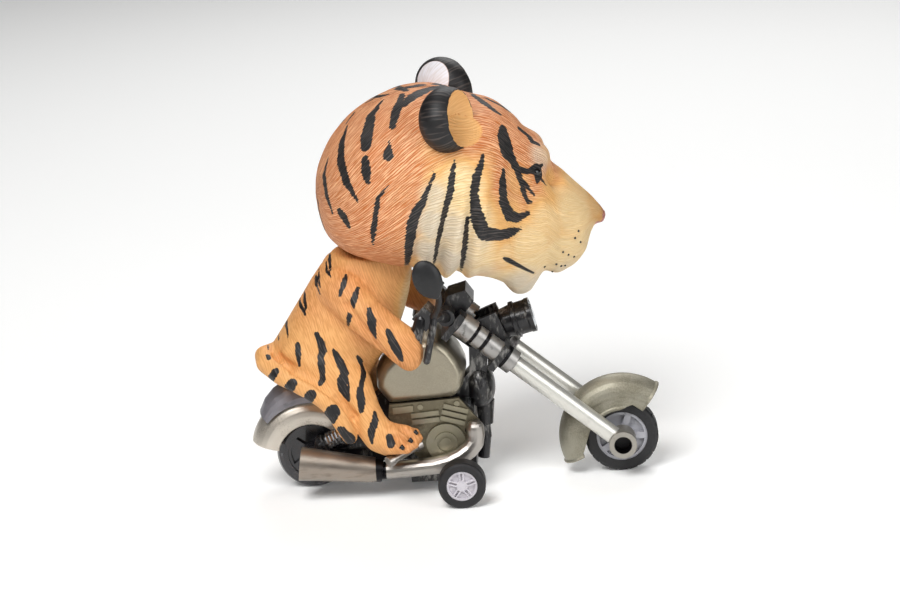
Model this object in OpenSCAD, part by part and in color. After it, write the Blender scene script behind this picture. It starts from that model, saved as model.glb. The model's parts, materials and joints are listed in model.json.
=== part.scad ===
// Pull-back toy chopper with a big-headed tiger rider.
// X points forward, Y to the rider's left and Z up. The origin is on the ground, under the middle.

/* [Wheels] */
// Distance between the front and rear axles
wheelbase = 76.8; // [76:0.2:78]
// Diameter of the front and rear road wheels
road_wheel_d = 18.2; // [17.8:0.1:18.4]
// Width of the front tyre
front_tyre_w = 5.4; // [4.6:0.1:5.6]
// Width of the rear tyre
rear_tyre_w = 7.2; // [6:0.1:7.6]
// Diameter of the two drive wheels
drive_wheel_d = 11.6; // [11.2:0.1:12]
// Width of a drive wheel
drive_wheel_w = 4.6; // [4:0.1:5]
// Distance across the outer faces of the drive wheels
drive_track = 48.4; // [47:0.2:50]
// Diameter of the steel axles
axle_d = 2; // [1.8:0.1:2.2]
// Radial running clearance of a turning bore
running_gap = 0.05; // [0.03:0.01:0.08]

/* [Fork] */
// Rake of the fork tubes above the ground
fork_angle = 40.4; // [39:0.1:42]
// Distance between the two fork tubes
fork_spacing = 14; // [13.6:0.1:14.6]
// Diameter of the sliding part of a fork tube
fork_tube_d = 4.4; // [4:0.1:4.6]
// Diameter of the headlamp
lamp_d = 8.6; // [8:0.1:9]

/* [Body] */
// Outer radius of the rear fender's crown, from the axle
rear_fender_r = 15.6; // [15.4:0.1:16]
// Half width of the rear fender
rear_fender_half = 6.4; // [6.2:0.1:6.6]
// Outer radius of the front fender's crown, from the axle
front_fender_r = 15.6; // [15:0.1:16]
// Thickness of the seat pad
seat_t = 4.4; // [4:0.1:4.8]
// Half width of the tank
tank_half = 9.8; // [9:0.1:10]

/* [Motor] */
// Gear module of the pull-back motor
gear_module = 0.45; // [0.44:0.01:0.46]
// Teeth of the pinion on the drive axle and of the idler's own pinion
pinion_teeth = 10; // [10]
// Teeth of the idler's large gear
idler_teeth = 22; // [22]
// Teeth of the spring barrel
barrel_teeth = 20; // [20]
// Turns of the flat mainspring
spring_turns = 5; // [3:1:6]

/* [Rider] */
// Angle that the head is turned to the rider's left
head_turn = 6.5; // [0:0.5:8]
// Diameter of the peg that the head turns on
neck_peg_d = 6; // [5:0.5:6]
// Turns of a shock spring
shock_turns = 5; // [4:1:6]

/* [Hidden] */
$fn = 64;

// Shared places
right = -1;
left = 1;
wheel_r = road_wheel_d / 2;
axle_r = axle_d / 2;
bore_r = axle_r + running_gap;
rear_x = -35.6;
front_x = rear_x + wheelbase;
drive_r = drive_wheel_d / 2;
drive_x = 1.5;
drive_y = drive_track / 2 - drive_wheel_w / 2;
rear_axle_at = [rear_x, 0, wheel_r];
front_axle_at = [front_x, 0, wheel_r];
drive_at = [drive_x, 0, drive_r];

// Motor places
pinion_r = gear_module * pinion_teeth / 2;
idler_r = gear_module * idler_teeth / 2;
barrel_r = gear_module * barrel_teeth / 2;
idler_lean = 153;
barrel_lean = 67;
idler_at = drive_at + (pinion_r + idler_r) * [cos(idler_lean), 0, sin(idler_lean)];
barrel_at = idler_at + (pinion_r + barrel_r) * [cos(barrel_lean), 0, sin(barrel_lean)];
stud_r = 0.8;
case_back = -11.4;
case_front = 5;
case_floor = 1.8;
case_top = 21.6;
case_half = 8;
case_wall = 0.8;

// Fork frame: distances run up the tube from the axle
fork_y = fork_spacing / 2;
fork_tube_r = fork_tube_d / 2;
clamp_low = 36.9;
clamp_high = 50.6;
clamp_t = 1.7;

// Engine cover planes
cover_y = case_half;
plate_y = 9.2;
fin_y = 9.9;
crank_y = 10.6;

// Exhaust route of the right side, with Y as distance from the middle
muffler_back = [-38.2, 12.2, 9.6];
muffler_front = [-18.1, 12.4, 6.8];
muffler_r = [4.2, 2.9];
pipe_route = [[-18.1, 12.4, 6.8], [-5, 12.6, 7.5], [1.4, 12.6, 9.6], [4.9, 11.8, 12.6], [5.2, 11.5, 16.2]];
pipe_r = 2.2;

// Shock line of the right side
shock_y = 8.8;
shock_low = [-33.4, shock_y, 12.9];
shock_high = [-24, shock_y, 17.6];
coil_r = 1.75;
wire_r = 0.45;

// Rider places
neck_x = -17;
neck_r = 10.4;
neck_top = 60;
peg_r = neck_peg_d / 2;
socket_top = 70;
socket_r = 5;

// Extrudes a drawing of X and Z between two Y planes
module side(y0, y1) {
    translate([0, y1, 0]) rotate([90, 0, 0]) linear_extrude(y1 - y0) children();
}

// A straight round bar between two points
module rod(p, q, r, r2 = undef) {
    d = q - p;
    translate(p) rotate([0, acos(d.z / norm(d)), atan2(d.y, d.x)])
        cylinder(h = norm(d), r1 = r, r2 = is_undef(r2) ? r : r2);
}

// Points of a smooth curve through a route, with some steps between each two of its points
function on_curve(p, i, t) = let (
    a = p[max(i - 1, 0)], b = p[i], c = p[i + 1], d = p[min(i + 2, len(p) - 1)])
    0.5 * (2 * b + (c - a) * t + (2 * a - 5 * b + 4 * c - d) * t * t + (3 * b - a - 3 * c + d) * t * t * t);
function curved(p, steps) = concat(
    [for (i = [0 : len(p) - 2], k = [0 : steps - 1]) on_curve(p, i, k / steps)],
    [p[len(p) - 1]]);

// A round bar that bends along a route
module bent_rod(route, r, steps = 3, sides = 14) {
    ball_chain([for (p = curved(route, steps)) [p, r * [1, 1, 1]]], sides);
}

// Mirrors a right-hand form, drawn at positive Y, to the asked side
module on(hand) {
    mirror([0, hand == right ? 1 : 0, 0]) children();
}

// Puts a form whose Z runs up the fork on the fork's own line
module along_fork() {
    translate(front_axle_at) rotate([0, fork_angle - 90, 0]) children();
}

// Revolves a drawing of radius and Y about a wheel's axle
module about_axle(at, from, sweep) {
    translate(at) rotate([90, 0, 0]) rotate_extrude(angle = sweep, start = from) children();
}

// A chain of round balls joined in pairs: each entry is [place, radii]
module ball_chain(balls, sides = 18) {
    for (i = [0 : len(balls) - 2]) hull() {
        ball(balls[i], sides);
        ball(balls[i + 1], sides);
    }
}
module ball(b, sides) {
    translate(b[0]) scale(b[1]) sphere(1, $fn = sides);
}

// Closed outline of a rounded section, with its own height up and down
function rounded_section(half_w, up, down, square, n = 28) = [
    for (i = [0 : n - 1])
        let (a = 360 * (i + 0.5) / n, c = cos(a), s = sin(a))
        [half_w * sign(c) * pow(abs(c), 2 / square), (s > 0 ? up : down) * sign(s) * pow(abs(s), 2 / square)]
];

// Wheels
module tyre(outer_r, inner_r, w, shoulder, grooves, groove_d) {
    difference() {
        rotate([90, 0, 0]) rotate_extrude() polygon([
            [inner_r, -w / 2], [outer_r - shoulder, -w / 2], [outer_r - shoulder / 3, -w / 2 + shoulder / 3],
            [outer_r, -w / 2 + shoulder], [outer_r, w / 2 - shoulder],
            [outer_r - shoulder / 3, w / 2 - shoulder / 3], [outer_r - shoulder, w / 2], [inner_r, w / 2]
        ]);
        for (i = [0 : grooves - 1], hand = [right, left])
            rotate([0, (i + (hand == left ? 0.5 : 0)) * 360 / max(grooves, 1), 0])
                translate([outer_r, hand * w / 2, 0])
                    cube([2 * groove_d, 0.62 * w, 0.5], center = true);
    }
}

// A moulded hub with sunk windows between its spokes on both faces
module hub(rim_r, w, boss_r, spokes, spoke_w, sunk) {
    difference() {
        union() {
            rotate([90, 0, 0]) cylinder(r = rim_r, h = w, center = true);
            rotate([90, 0, 0]) cylinder(r = boss_r, h = w + 0.5, center = true);
        }
        for (hand = [right, left])
            translate([0, hand * (w / 2 - sunk / 2 + 0.01), 0])
                rotate([90, 0, 0]) linear_extrude(sunk + 0.02, center = true) difference() {
                    circle(rim_r - 0.7);
                    circle(boss_r + 0.5);
                    for (i = [0 : spokes - 1]) rotate(i * 360 / spokes)
                        translate([0, -spoke_w / 2]) square([rim_r, spoke_w]);
                }
        rotate([90, 0, 0]) cylinder(r = bore_r, h = 2 * w, center = true);
    }
}

hub_r = 6.3;
module front_tyre() {
    color("#37363a") translate(front_axle_at) tyre(wheel_r, hub_r, front_tyre_w, 0.9, 22, 0.35);
}
module front_hub() {
    color("#9d9da3") translate(front_axle_at) hub(hub_r, front_tyre_w - 0.6, 2.2, 5, 1.6, 1.1);
}
module rear_tyre() {
    color("#1f1e21") translate(rear_axle_at) tyre(wheel_r, hub_r, rear_tyre_w, 1.6, 0, 0);
}
module rear_hub() {
    color("#4a4a4e") translate(rear_axle_at) hub(hub_r, rear_tyre_w - 1, 2.2, 5, 1.4, 1.1);
}

drive_hub_r = 3.75;
module drive_tyre(hand) {
    color("#2b2a2d") translate(drive_at + [0, hand * drive_y, 0])
        tyre(drive_r, drive_hub_r, drive_wheel_w, 0.6, 0, 0);
}
module drive_hub(hand) {
    w = drive_wheel_w - 0.4;
    color("#e9e8ee") translate(drive_at + [0, hand * drive_y, 0]) difference() {
        rotate([90, 0, 0]) cylinder(r = drive_hub_r, h = w, center = true);
        translate([0, hand * w / 2, 0]) rotate([90, 0, 0]) linear_extrude(1.2, center = true) difference() {
            circle(drive_hub_r - 0.5);
            circle(1.35);
            for (i = [0 : 4], lane = [-0.42, 0.42]) rotate(i * 72 + 90)
                translate([0, lane - 0.17]) square([drive_hub_r, 0.34]);
        }
        translate([0, -hand * w / 2, 0]) rotate([90, 0, 0])
            cylinder(r = axle_r, h = 2 * (w - 0.8), center = true);
    }
}

// Pull-back motor
function gear_outline(teeth) = let (
    r = gear_module * teeth / 2, tip = r + 0.85 * gear_module, root = r - 1.15 * gear_module, p = 360 / teeth)
    [for (i = [0 : teeth - 1],
        c = [[root, -0.27], [r, -0.2], [tip, -0.09], [tip, 0.09], [r, 0.2], [root, 0.27]])
        c[0] * [cos((i + c[1]) * p), sin((i + c[1]) * p)]];

module gear(at, teeth, turn, y0, y1) {
    translate(at) side(y0, y1) rotate(turn) polygon(gear_outline(teeth));
}

idler_y = [-4.6, -2.4];
idler_pinion_y = [-2.4, 0.6];
barrel_gear_y = [-1.4, 0.8];
barrel_drum_y = [0.8, 6];
drum_r = 4.1;
drum_wall = 0.5;
spring_t = 0.22;

module drive_axle() {
    color("#c9ccd1") translate(drive_at) rotate([90, 0, 0])
        cylinder(r = axle_r, h = 2 * (drive_y + drive_wheel_w / 2 - 1), center = true);
}
module drive_pinion() {
    color("#e8e4d4") difference() {
        gear(drive_at, pinion_teeth, idler_lean, -5, -2.2);
        translate(drive_at) rotate([90, 0, 0]) cylinder(r = axle_r, h = 20, center = true);
    }
}
module idler_gear() {
    color("#e8e4d4") difference() {
        union() {
            gear(idler_at, idler_teeth, idler_lean + 180 - 180 / idler_teeth, idler_y[0], idler_y[1]);
            gear(idler_at, pinion_teeth, barrel_lean, idler_pinion_y[0] - 0.2, idler_pinion_y[1]);
        }
        translate(idler_at) rotate([90, 0, 0]) cylinder(r = stud_r + running_gap, h = 20, center = true);
    }
}
module spring_barrel() {
    color("#d9552f") difference() {
        union() {
            gear(barrel_at, barrel_teeth, barrel_lean + 180 - 180 / barrel_teeth,
                barrel_gear_y[0], barrel_gear_y[1]);
            translate(barrel_at) side(barrel_drum_y[0] - 0.2, barrel_drum_y[1]) circle(drum_r);
        }
        translate(barrel_at) side(barrel_drum_y[0] + 0.4, barrel_drum_y[1] + 1) circle(drum_r - drum_wall);
        translate(barrel_at) rotate([90, 0, 0]) cylinder(r = stud_r + running_gap, h = 20, center = true);
    }
}

// Flat spiral strip, wound at a steady pitch from the stud to the drum's wall
spring_in = stud_r + 0.35;
spring_out = drum_r - drum_wall - spring_t - 0.12;
function spiral(offset, n) = [for (i = [0 : n])
    let (a = 360 * spring_turns * i / n, r = spring_in + (spring_out - spring_in) * i / n + offset)
    r * [cos(a), sin(a)]];
module mainspring() {
    n = 20 * spring_turns;
    inner = spiral(0, n);
    outer = spiral(spring_t, n);
    color("#7d8288") translate(barrel_at) side(barrel_drum_y[0] + 0.7, barrel_drum_y[1] - 0.4)
        polygon(concat(inner, [for (i = [n : -1 : 0]) outer[i]]));
}
module gear_studs() {
    color("#c9ccd1") for (at = [idler_at, barrel_at])
        translate(at) rotate([90, 0, 0]) cylinder(r = stud_r, h = 2 * (case_half - 0.3), center = true);
}

screw_spots = [[-10.2, 20.4], [3.7, 20.4], [-10.2, 3], [3.9, 9.5]];
screw_r = 0.5;
module case_outline() {
    polygon([[case_back, case_floor], [case_front, case_floor], [case_front, case_top - 2],
        [case_front - 2, case_top], [case_back, case_top]]);
}
module motor_case(hand) {
    color("#2a2a2c") on(hand) difference() {
        side(0, case_half) case_outline();
        difference() {
            side(-1, case_half - case_wall) offset(delta = -case_wall) case_outline();
            for (s = screw_spots) translate([s.x, 0, s.y]) rotate([90, 0, 0])
                cylinder(r = 1.05, h = 40, center = true);
        }
        translate(drive_at) rotate([90, 0, 0]) cylinder(r = bore_r, h = 40, center = true);
        for (at = [idler_at, barrel_at])
            translate(at) rotate([90, 0, 0]) cylinder(r = stud_r, h = 2 * (case_half - 0.3), center = true);
        for (s = screw_spots) translate([s.x, 0, s.y]) {
            rotate([90, 0, 0]) cylinder(r = screw_r, h = 2 * (case_half - 1), center = true);
            if (hand == left) translate([0, case_half, 0]) rotate([90, 0, 0])
                cylinder(r = 0.85, h = 1.2, center = true);
            if (hand == left) rotate([90, 0, 0]) cylinder(r = screw_r, h = 2 * case_half, center = true);
        }
    }
}
module case_screws() {
    color("#8a8d92") for (s = screw_spots) translate([s.x, 0, s.y]) {
        side(1 - case_half, case_half - 0.6) circle(screw_r);
        side(case_half - 0.6, case_half) circle(0.85);
    }
}

// Chassis: spine under the tank, headstock, down tube, and swing arms to the rear axle
stem_back = 2;
arm_y = [4.7, 6.3];
module headstock() {
    along_fork() translate([-stem_back, 0, clamp_low + clamp_t])
        cylinder(r = 3.1, h = clamp_high - clamp_low - clamp_t);
}
fender_web = 30;
function polar(at, r, a) = [at.x + r * cos(a), at.z + r * sin(a)];
spine_top = 25;
down_tube_bend = [7.4, 0, 10];
module chassis() {
    color("#222123") union() {
        headstock();
        side(-3, 3) polygon(concat(
            [polar(rear_axle_at, wheel_r + 0.6, fender_web),
                polar(rear_axle_at, rear_fender_r - 0.3, fender_web)],
            [[-20.4, 21.6], [-16.4, spine_top], [1.4, spine_top], [4.4, 28], [4.6, 34.5], [9.4, 34],
                [7.9, 22],
                [7.6, case_top], [case_back - 0.1, case_top], [case_back - 0.1, 12]]));
        side(-arm_y[1], arm_y[1]) polygon([[-13.6, 7.2], [case_back, 7.2], [case_back, 17], [-13.6, 17]]);
        rod([6.9, 0, 23], down_tube_bend, 1.5);
        rod(down_tube_bend + [0, 0, 0.6], [6.6, 0, 4.8], 1.45);
        for (hand = [right, left]) on(hand) {
            side(arm_y[0], arm_y[1]) difference() {
                union() {
                    polygon([[rear_x, wheel_r - 1.6], [-13, 7.2], [-13, 10.6], [rear_x, wheel_r + 1.6]]);
                    translate([rear_x, wheel_r]) circle(2.2);
                    translate([shock_low.x, shock_low.z]) circle(1.5);
                    polygon([[shock_low.x - 1.5, shock_low.z], [shock_low.x - 1.5, wheel_r],
                        [shock_low.x + 1.5, wheel_r], [shock_low.x + 1.5, shock_low.z]]);
                }
                translate([rear_x, wheel_r]) circle(axle_r);
            }
        }
    }
}
module rear_axle() {
    color("#c9ccd1") translate(rear_axle_at) rotate([90, 0, 0])
        cylinder(r = axle_r, h = 2 * arm_y[1], center = true);
}

// Rear fender and the seat pad on its crown
skirt_r = 8.4;
crown_mid = 10.5;
fender_wall = 1;
rear_fender_end = 167;
function crown(mid, top, half) = [for (i = [0 : 12]) let (a = 180 * i / 12)
    [mid + (top - mid) * sin(a), half * cos(a)]];
module rear_fender() {
    outer = crown(crown_mid, rear_fender_r, rear_fender_half);
    inner = crown(crown_mid, rear_fender_r - fender_wall, rear_fender_half - fender_wall);
    color("#a39d8a") union() {
        about_axle(rear_axle_at, fender_web, rear_fender_end - fender_web) polygon(concat(
            [[skirt_r, rear_fender_half]], outer, [[skirt_r, -rear_fender_half]],
            [[skirt_r, fender_wall - rear_fender_half]], [for (i = [12 : -1 : 0]) inner[i]],
            [[skirt_r, rear_fender_half - fender_wall]]));
        about_axle(rear_axle_at, fender_web, 4) polygon(concat(
            [[wheel_r + 0.6, rear_fender_half]], outer, [[wheel_r + 0.6, -rear_fender_half]]));
    }
}
seat_half = 5.8;
seat_from = 62;
seat_to = 139;
module seat_slice(s) {
    about_axle(rear_axle_at, s[0], 0.1) polygon(crown(rear_fender_r - 1.6, rear_fender_r + s[1], seat_half));
}
module seat() {
    $fn = 72;
    rise = [1, 1, 1, 0.97, 0.92, 0.83, 0.7, 0.52, 0.28];
    slices = [for (i = [0 : 8]) [seat_from + (seat_to - seat_from) * i / 8, seat_t * rise[i]]];
    color("#232226") difference() {
        for (i = [0 : 7]) hull() {
            seat_slice(slices[i]);
            seat_slice(slices[i + 1]);
        }
        about_axle(rear_axle_at, 0, 360)
            polygon(crown(crown_mid, rear_fender_r + 0.03, rear_fender_half + 0.03));
    }
}

// Tank: the side outline shrinks towards its crowned faces, with a sunk panel on each
tank_outline = [[-18.6, 29.5], [-18.8, 26.6], [-15.6, 23], [0.8, 23.8], [3, 26.2], [3.8, 29.6], [2.4, 33],
    [0.2, 36.4], [-2.4, 38.7], [-6, 39], [-12.4, 37], [-16.6, 33]];
module tank_form(grow = 0) {
    hull() for (layer = [[0, 0], [0.62, 0.3], [0.88, 0.8], [1, 1.9]])
        side(-layer[0] * tank_half - 0.1 - grow, layer[0] * tank_half + 0.1 + grow)
            offset(r = grow - layer[1]) polygon(tank_outline);
}
module tank() {
    color("#a8a28f") difference() {
        tank_form();
        side(-3.05, 3.05) polygon([[-30, 10], [10, 10], [10, spine_top], [-30, spine_top]]);
        side(-3.05, 3.05) polygon([[1.3, spine_top - 0.05], [12, 24], [12, 36], [4.55, 36], [4.35, 28]]);
        for (hand = [right, left]) on(hand) side(tank_half - 0.15, tank_half + 2)
            offset(r = -3.4) polygon(tank_outline);
    }
}

// Engine cover: a plate with two banks of fins and the round crank cover
crank_at = [-2.2, 12.3];
module fin_bank(at, turn, n, size) {
    for (i = [0 : n - 1]) translate([at.x, 0, at.y]) rotate([0, -turn, 0])
        translate([-size.x / 2, plate_y - 0.1, (i - (n - 1) / 2) * size.y - 0.35 * size.y])
            cube([size.x, fin_y - plate_y + 0.1, 0.7 * size.y]);
}
module engine_cover(hand) {
    color("#8f8a76") on(hand) union() {
        side(cover_y, plate_y) union() {
            polygon([[-15.6, 22.6], [1.6, 23.4], [6.4, 17.2], [2.8, 15.6], [0, 9], [-9, 8.4], [-12.6, 12],
                [-16, 19.6]]);
            translate(crank_at) circle(5.4);
        }
        side(plate_y - 0.1, plate_y + 0.9) translate(crank_at) circle(4.9);
        side(plate_y + 0.8, crank_y) translate(crank_at) difference() {
            circle(2.9);
            circle(2.1);
        }
        side(plate_y + 0.8, crank_y - 0.2) translate(crank_at) circle(1.4);
        fin_bank([-6.9, 19], 4.4, 2, [6.8, 1.7]);
        fin_bank([0.2, 19.4], -17, 3, [6.2, 1.6]);
        side(plate_y - 0.1, plate_y + 0.5)
            polygon([[-14.8, 20.2], [-9.8, 20.6], [-9.8, 22.2], [-14.8, 21.8]]);
        for (rivet = [[-8, 21.7], [1, 22.1]])
            side(plate_y - 0.1, plate_y + 0.4) translate(rivet) circle(0.7);
    }
}

// Horn cover: a ribbed bell on the down tube, with its lower mount
horn_at = [6.7, 0, 23.6];
module horn_cover() {
    color("#2b292b") difference() {
        union() {
            translate(horn_at) scale([0.74, 1, 1.14]) sphere(5.2);
            for (tilt = [-22, 0, 22]) translate(horn_at) rotate([0, 90 + tilt, 0])
                rotate_extrude() translate([4.6, 0]) circle(0.7, $fn = 24);
            rod([7.4, 0, 19.6], [7.5, 0, 13.6], 2.7, 1.95);
        }
        side(-3.05, 3.05) polygon([[-5, 5], [case_front + 0.05, 5], [7.65, case_top], [7.95, 22], [9.45, 34],
            [-5, 34]]);
        side(-9, 9) polygon([[-5, 5], [case_front + 0.05, 5], [case_front + 0.05, case_top + 0.05],
            [-5, case_top + 0.05]]);
        side(-12, 12) polygon([[-5, 21], [4.05, 21], [4.05, 40], [-5, 40]]);
        rod([6.9, 0, 23.1], down_tube_bend, 1.55);
        rod(down_tube_bend, [6.9, 0, 5], 1.55);
        along_fork() translate([-5.15, -12, clamp_low - 0.05]) cube([12, 24, 12]);
    }
}

// Exhaust
module exhaust_pipe(hand) {
    color("#b4b3ad") on(hand) difference() {
        bent_rod(pipe_route, pipe_r, 2, 18);
        rod(muffler_front + 0.2 * (muffler_back - muffler_front), muffler_front, muffler_r[1] + 0.2);
    }
}
module muffler(hand) {
    color("#9b9788") on(hand) difference() {
        union() {
            rod(muffler_back, muffler_front + 0.1 * (muffler_back - muffler_front),
                muffler_r[0], muffler_r[1] + 0.2);
            rod(muffler_front + 0.1 * (muffler_back - muffler_front), muffler_front, muffler_r[1]);
        }
        rod(muffler_back - 0.1 * (muffler_front - muffler_back),
            muffler_back + 0.12 * (muffler_front - muffler_back), muffler_r[0] - 0.7);
    }
}

// Rear shocks with helical springs
shock_line = (shock_high - shock_low) / norm(shock_high - shock_low);
shock_len = norm(shock_high - shock_low);
coil_start = 1.9;
coil_len = 5.4;
module shock(hand) {
    color("#28282a") on(hand) difference() {
        union() {
            rod(shock_low, shock_high, 1);
            rod(shock_low + 7.6 * shock_line, shock_high, 2.6);
            rod(shock_low + 1.1 * shock_line, shock_low + 1.6 * shock_line, 2.1);
            translate(shock_low) side(arm_y[1] - shock_y, 0.2) circle(1.4);
            translate(shock_high) side(4.4 - shock_y, 1.6) circle(1.5);
        }
        about_axle(rear_axle_at, 0, 360) polygon(concat([[skirt_r, rear_fender_half]],
            crown(crown_mid, rear_fender_r, rear_fender_half), [[skirt_r, -rear_fender_half]]));
    }
}
// Ring of the coil at a turn angle, in the spring's own frame
coil_pitch = (coil_len - 2 * wire_r) / shock_turns;
function coil_point(a) = [coil_r * cos(a), coil_r * sin(a), coil_start + wire_r + coil_pitch * a / 360];
function coil_ring(a, sides) = let (p = coil_point(a), out = [cos(a), sin(a), 0], up = [0, 0, 1])
    [for (k = [0 : sides - 1]) p + wire_r * (cos(360 * k / sides) * out + sin(360 * k / sides) * up)];
coil_rings = 8 * shock_turns;
coil_sides = 6;
module shock_spring(hand) {
    rings = [for (i = [0 : coil_rings]) coil_ring(45 * i, coil_sides)];
    points = [for (r = rings) each r];
    walls = [for (i = [0 : coil_rings - 1], k = [0 : coil_sides - 1])
        let (a = i * coil_sides + k, b = i * coil_sides + (k + 1) % coil_sides)
        each [[a, b, b + coil_sides], [a, b + coil_sides, a + coil_sides]]];
    last = coil_rings * coil_sides;
    ends = [for (k = [1 : coil_sides - 2]) each [[0, k + 1, k], [last, last + k, last + k + 1]]];
    d = shock_line;
    color("#c4c6ca") on(hand) translate(shock_low) rotate([0, acos(d.z), atan2(d.y, d.x)])
        polyhedron(points, [for (f = concat(walls, ends)) [f[0], f[2], f[1]]]);
}
spring_gap = min([for (i = [0 : coil_rings], j = [i + 5 : 1 : coil_rings])
    norm(coil_point(45 * i) - coil_point(45 * j))]) - 2 * wire_r;
echo(shock_spring_gap = spring_gap);

// Foot pegs: a rubber pad between two rings, on a post from the engine cover
peg_out = [-15.7, 18, 11.1];
peg_in = [-9, 13, 13.1];
module foot_peg(hand) {
    line = (peg_in - peg_out) / norm(peg_in - peg_out);
    color("#55565a") on(hand) union() {
        rod(peg_out, peg_in, 1.1);
        rod(peg_out - 0.7 * line, peg_out + 0.7 * line, 1.4);
        rod(peg_in - 0.7 * line, peg_in + 0.7 * line, 1.4);
        rod([peg_in.x, plate_y, peg_in.z], peg_in, 1);
    }
}

// Fork: a stepped tube with a boss across the axle at its foot
boss_r = 3.4;
boss_y = [3.6, 9.6];
fork_steps = [[fork_tube_r, 0], [fork_tube_r, 33.6], [3.1, 33.9], [3.1, clamp_low], [2.3, clamp_low],
    [2.3, 38.6], [2.75, 38.6], [2.75, 42.3], [2.3, 42.3],
    [2.3, 43.4], [2.75, 43.4], [2.75, 45.6], [2.3, 45.6], [2.3, 46.6],
    [3.1, 46.6], [3.1, 50.4], [2, 50.4], [2, 51.95], [0, 51.95]];
module fork_tube(hand) {
    color("#c3c4c6") on(hand) difference() {
        union() {
            along_fork() translate([0, fork_y, 0]) rotate_extrude() polygon(concat([[0, 0]], fork_steps));
            translate(front_axle_at) side(boss_y[0], boss_y[1]) circle(boss_r);
        }
        translate(front_axle_at) side(boss_y[0] - 1, boss_y[0] + 3) circle(axle_r);
        translate(front_axle_at) side(boss_y[1] - 2.9, boss_y[1] + 1) circle(2.1);
    }
}
module front_axle() {
    color("#c9ccd1") translate(front_axle_at) rotate([90, 0, 0])
        cylinder(r = axle_r, h = 2 * (boss_y[0] + 3), center = true);
}

// Clamps: plates bored for the tubes, the upper one with the riser block
module clamp_plate(from, back, front) {
    along_fork() translate([-back, -fork_y - 2.9, from]) cube([back + front, fork_spacing + 5.8, clamp_t]);
}
module fork_bores(r) {
    for (hand = [right, left]) along_fork() translate([0, hand * fork_y, 30]) cylinder(r = r, h = 40);
}
bar_at = [-0.3, 0, 43.9];
bar_r = 2.1;
bar_half = 9.2;
module lower_clamp() {
    color("#1e1d1f") difference() {
        clamp_plate(clamp_low, 4.2, 2.7);
        fork_bores(2.3);
    }
}
module upper_clamp() {
    color("#1e1d1f") difference() {
        union() {
            clamp_plate(clamp_high, 5, 2.6);
            side(-4.6, 4.6)
                polygon([[0.2, 48.2], [4.6, 49.4], [6.5, 46.6], [4, 42.4], [-0.6, 40], [-2.2, 43.5]]);
        }
        fork_bores(2);
        translate(bar_at) rotate([90, 0, 0]) cylinder(r = bar_r, h = 40, center = true);
        along_fork() translate([-20, -20, clamp_high - 20]) cube([40, 40, 20]);
    }
}

// Front fender: a round crown over a stepped skirt with a rolled lip
front_fender_from = 52;
front_fender_to = 205;
front_crown_mid = 11.2;
front_crown_half = 4.6;
front_skirt_half = 4.35;
front_skirt_r = 7.4;
front_wall = 0.8;
module fender_half_section(in) {
    crown_pts = crown(front_crown_mid, front_fender_r - in, front_crown_half - in);
    polygon(concat([[front_skirt_r, front_skirt_half - in], [front_crown_mid - 0.7, front_skirt_half - in]],
        crown_pts, [[front_crown_mid - 0.7, in - front_skirt_half], [front_skirt_r, in - front_skirt_half]]));
}
module front_fender() {
    color("#a8a28f") difference() {
        union() {
            about_axle(front_axle_at, front_fender_from, front_fender_to - front_fender_from) difference() {
                fender_half_section(0);
                translate([-0.01, 0]) fender_half_section(front_wall);
            }
            for (a = [front_fender_from, front_fender_to - 2.2])
                about_axle(front_axle_at, a, 2.2) difference() {
                fender_half_section(-0.35);
                translate([-0.01, 0]) fender_half_section(front_wall);
            }
            for (hand = [right, left]) on(hand) {
                about_axle(front_axle_at, front_fender_from, front_fender_to - front_fender_from)
                    translate([front_skirt_r, front_skirt_half - 0.2]) square([0.8, 0.55]);
                along_fork() translate([0, front_crown_half - 1, 12.6]) rotate([-90, 0, 0])
                    cylinder(r = 1.2, h = 1.6);
            }
        }
        for (hand = [right, left]) along_fork() translate([0, hand * fork_y, 0])
            cylinder(r = fork_tube_r, h = 30);
        translate(front_axle_at) rotate([90, 0, 0]) linear_extrude(40, center = true) polygon([[0, 0],
            12 * [cos(front_fender_to + 30), sin(front_fender_to + 30)], 10.4 * [cos(200), sin(200)],
            8.2 * [cos(160), sin(160)], 7.2 * [cos(120), sin(120)], 9 * [cos(72), sin(72)],
            8.6 * [cos(52), sin(52)], 12 * [cos(30), sin(30)]]);
    }
}

// Headlamp on its bracket, tipped up a little
lamp_at = [16.6, 0, 40.1];
lamp_tip = 15;
module on_lamp() {
    translate(lamp_at) rotate([0, 90 - lamp_tip, 0]) children();
}
lamp_r = lamp_d / 2;
module headlamp() {
    color("#242325") on_lamp() difference() {
        rotate_extrude() polygon([[0, -5], [2.6, -4.6], [3.6, -3.4], [4, -1], [4.6, -0.8], [4.6, 0.2],
                [4.1, 0.4],
            [lamp_r - 0.2, 2.8], [lamp_r, 3.2], [lamp_r, 4.2], [0, 4.2]]);
        translate([0, 0, 2.6]) cylinder(r = lamp_r - 0.6, h = 3);
    }
}
module headlamp_lens() {
    color("#c8ccd0") on_lamp() rotate_extrude() polygon([[0, 2.6], [lamp_r - 0.6, 2.6], [lamp_r - 0.6, 3.8],
        [2.4, 4.5], [0, 4.7]]);
}
module headlamp_bracket() {
    color("#1e1d1f") difference() {
        for (hand = [right, left]) on(hand)
            side(3.4, 4.7) polygon([[6.6, 41.4], [11.7, 43.4], [14.2, 37], [12.2, 34.2]]);
        on_lamp() translate([0, 0, -6]) cylinder(r = 4.05, h = 14);
        fork_bores(3.15);
        along_fork() translate([-20, -20, 20]) cube([40, 40, clamp_low + clamp_t - 20]);
    }
}

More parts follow.
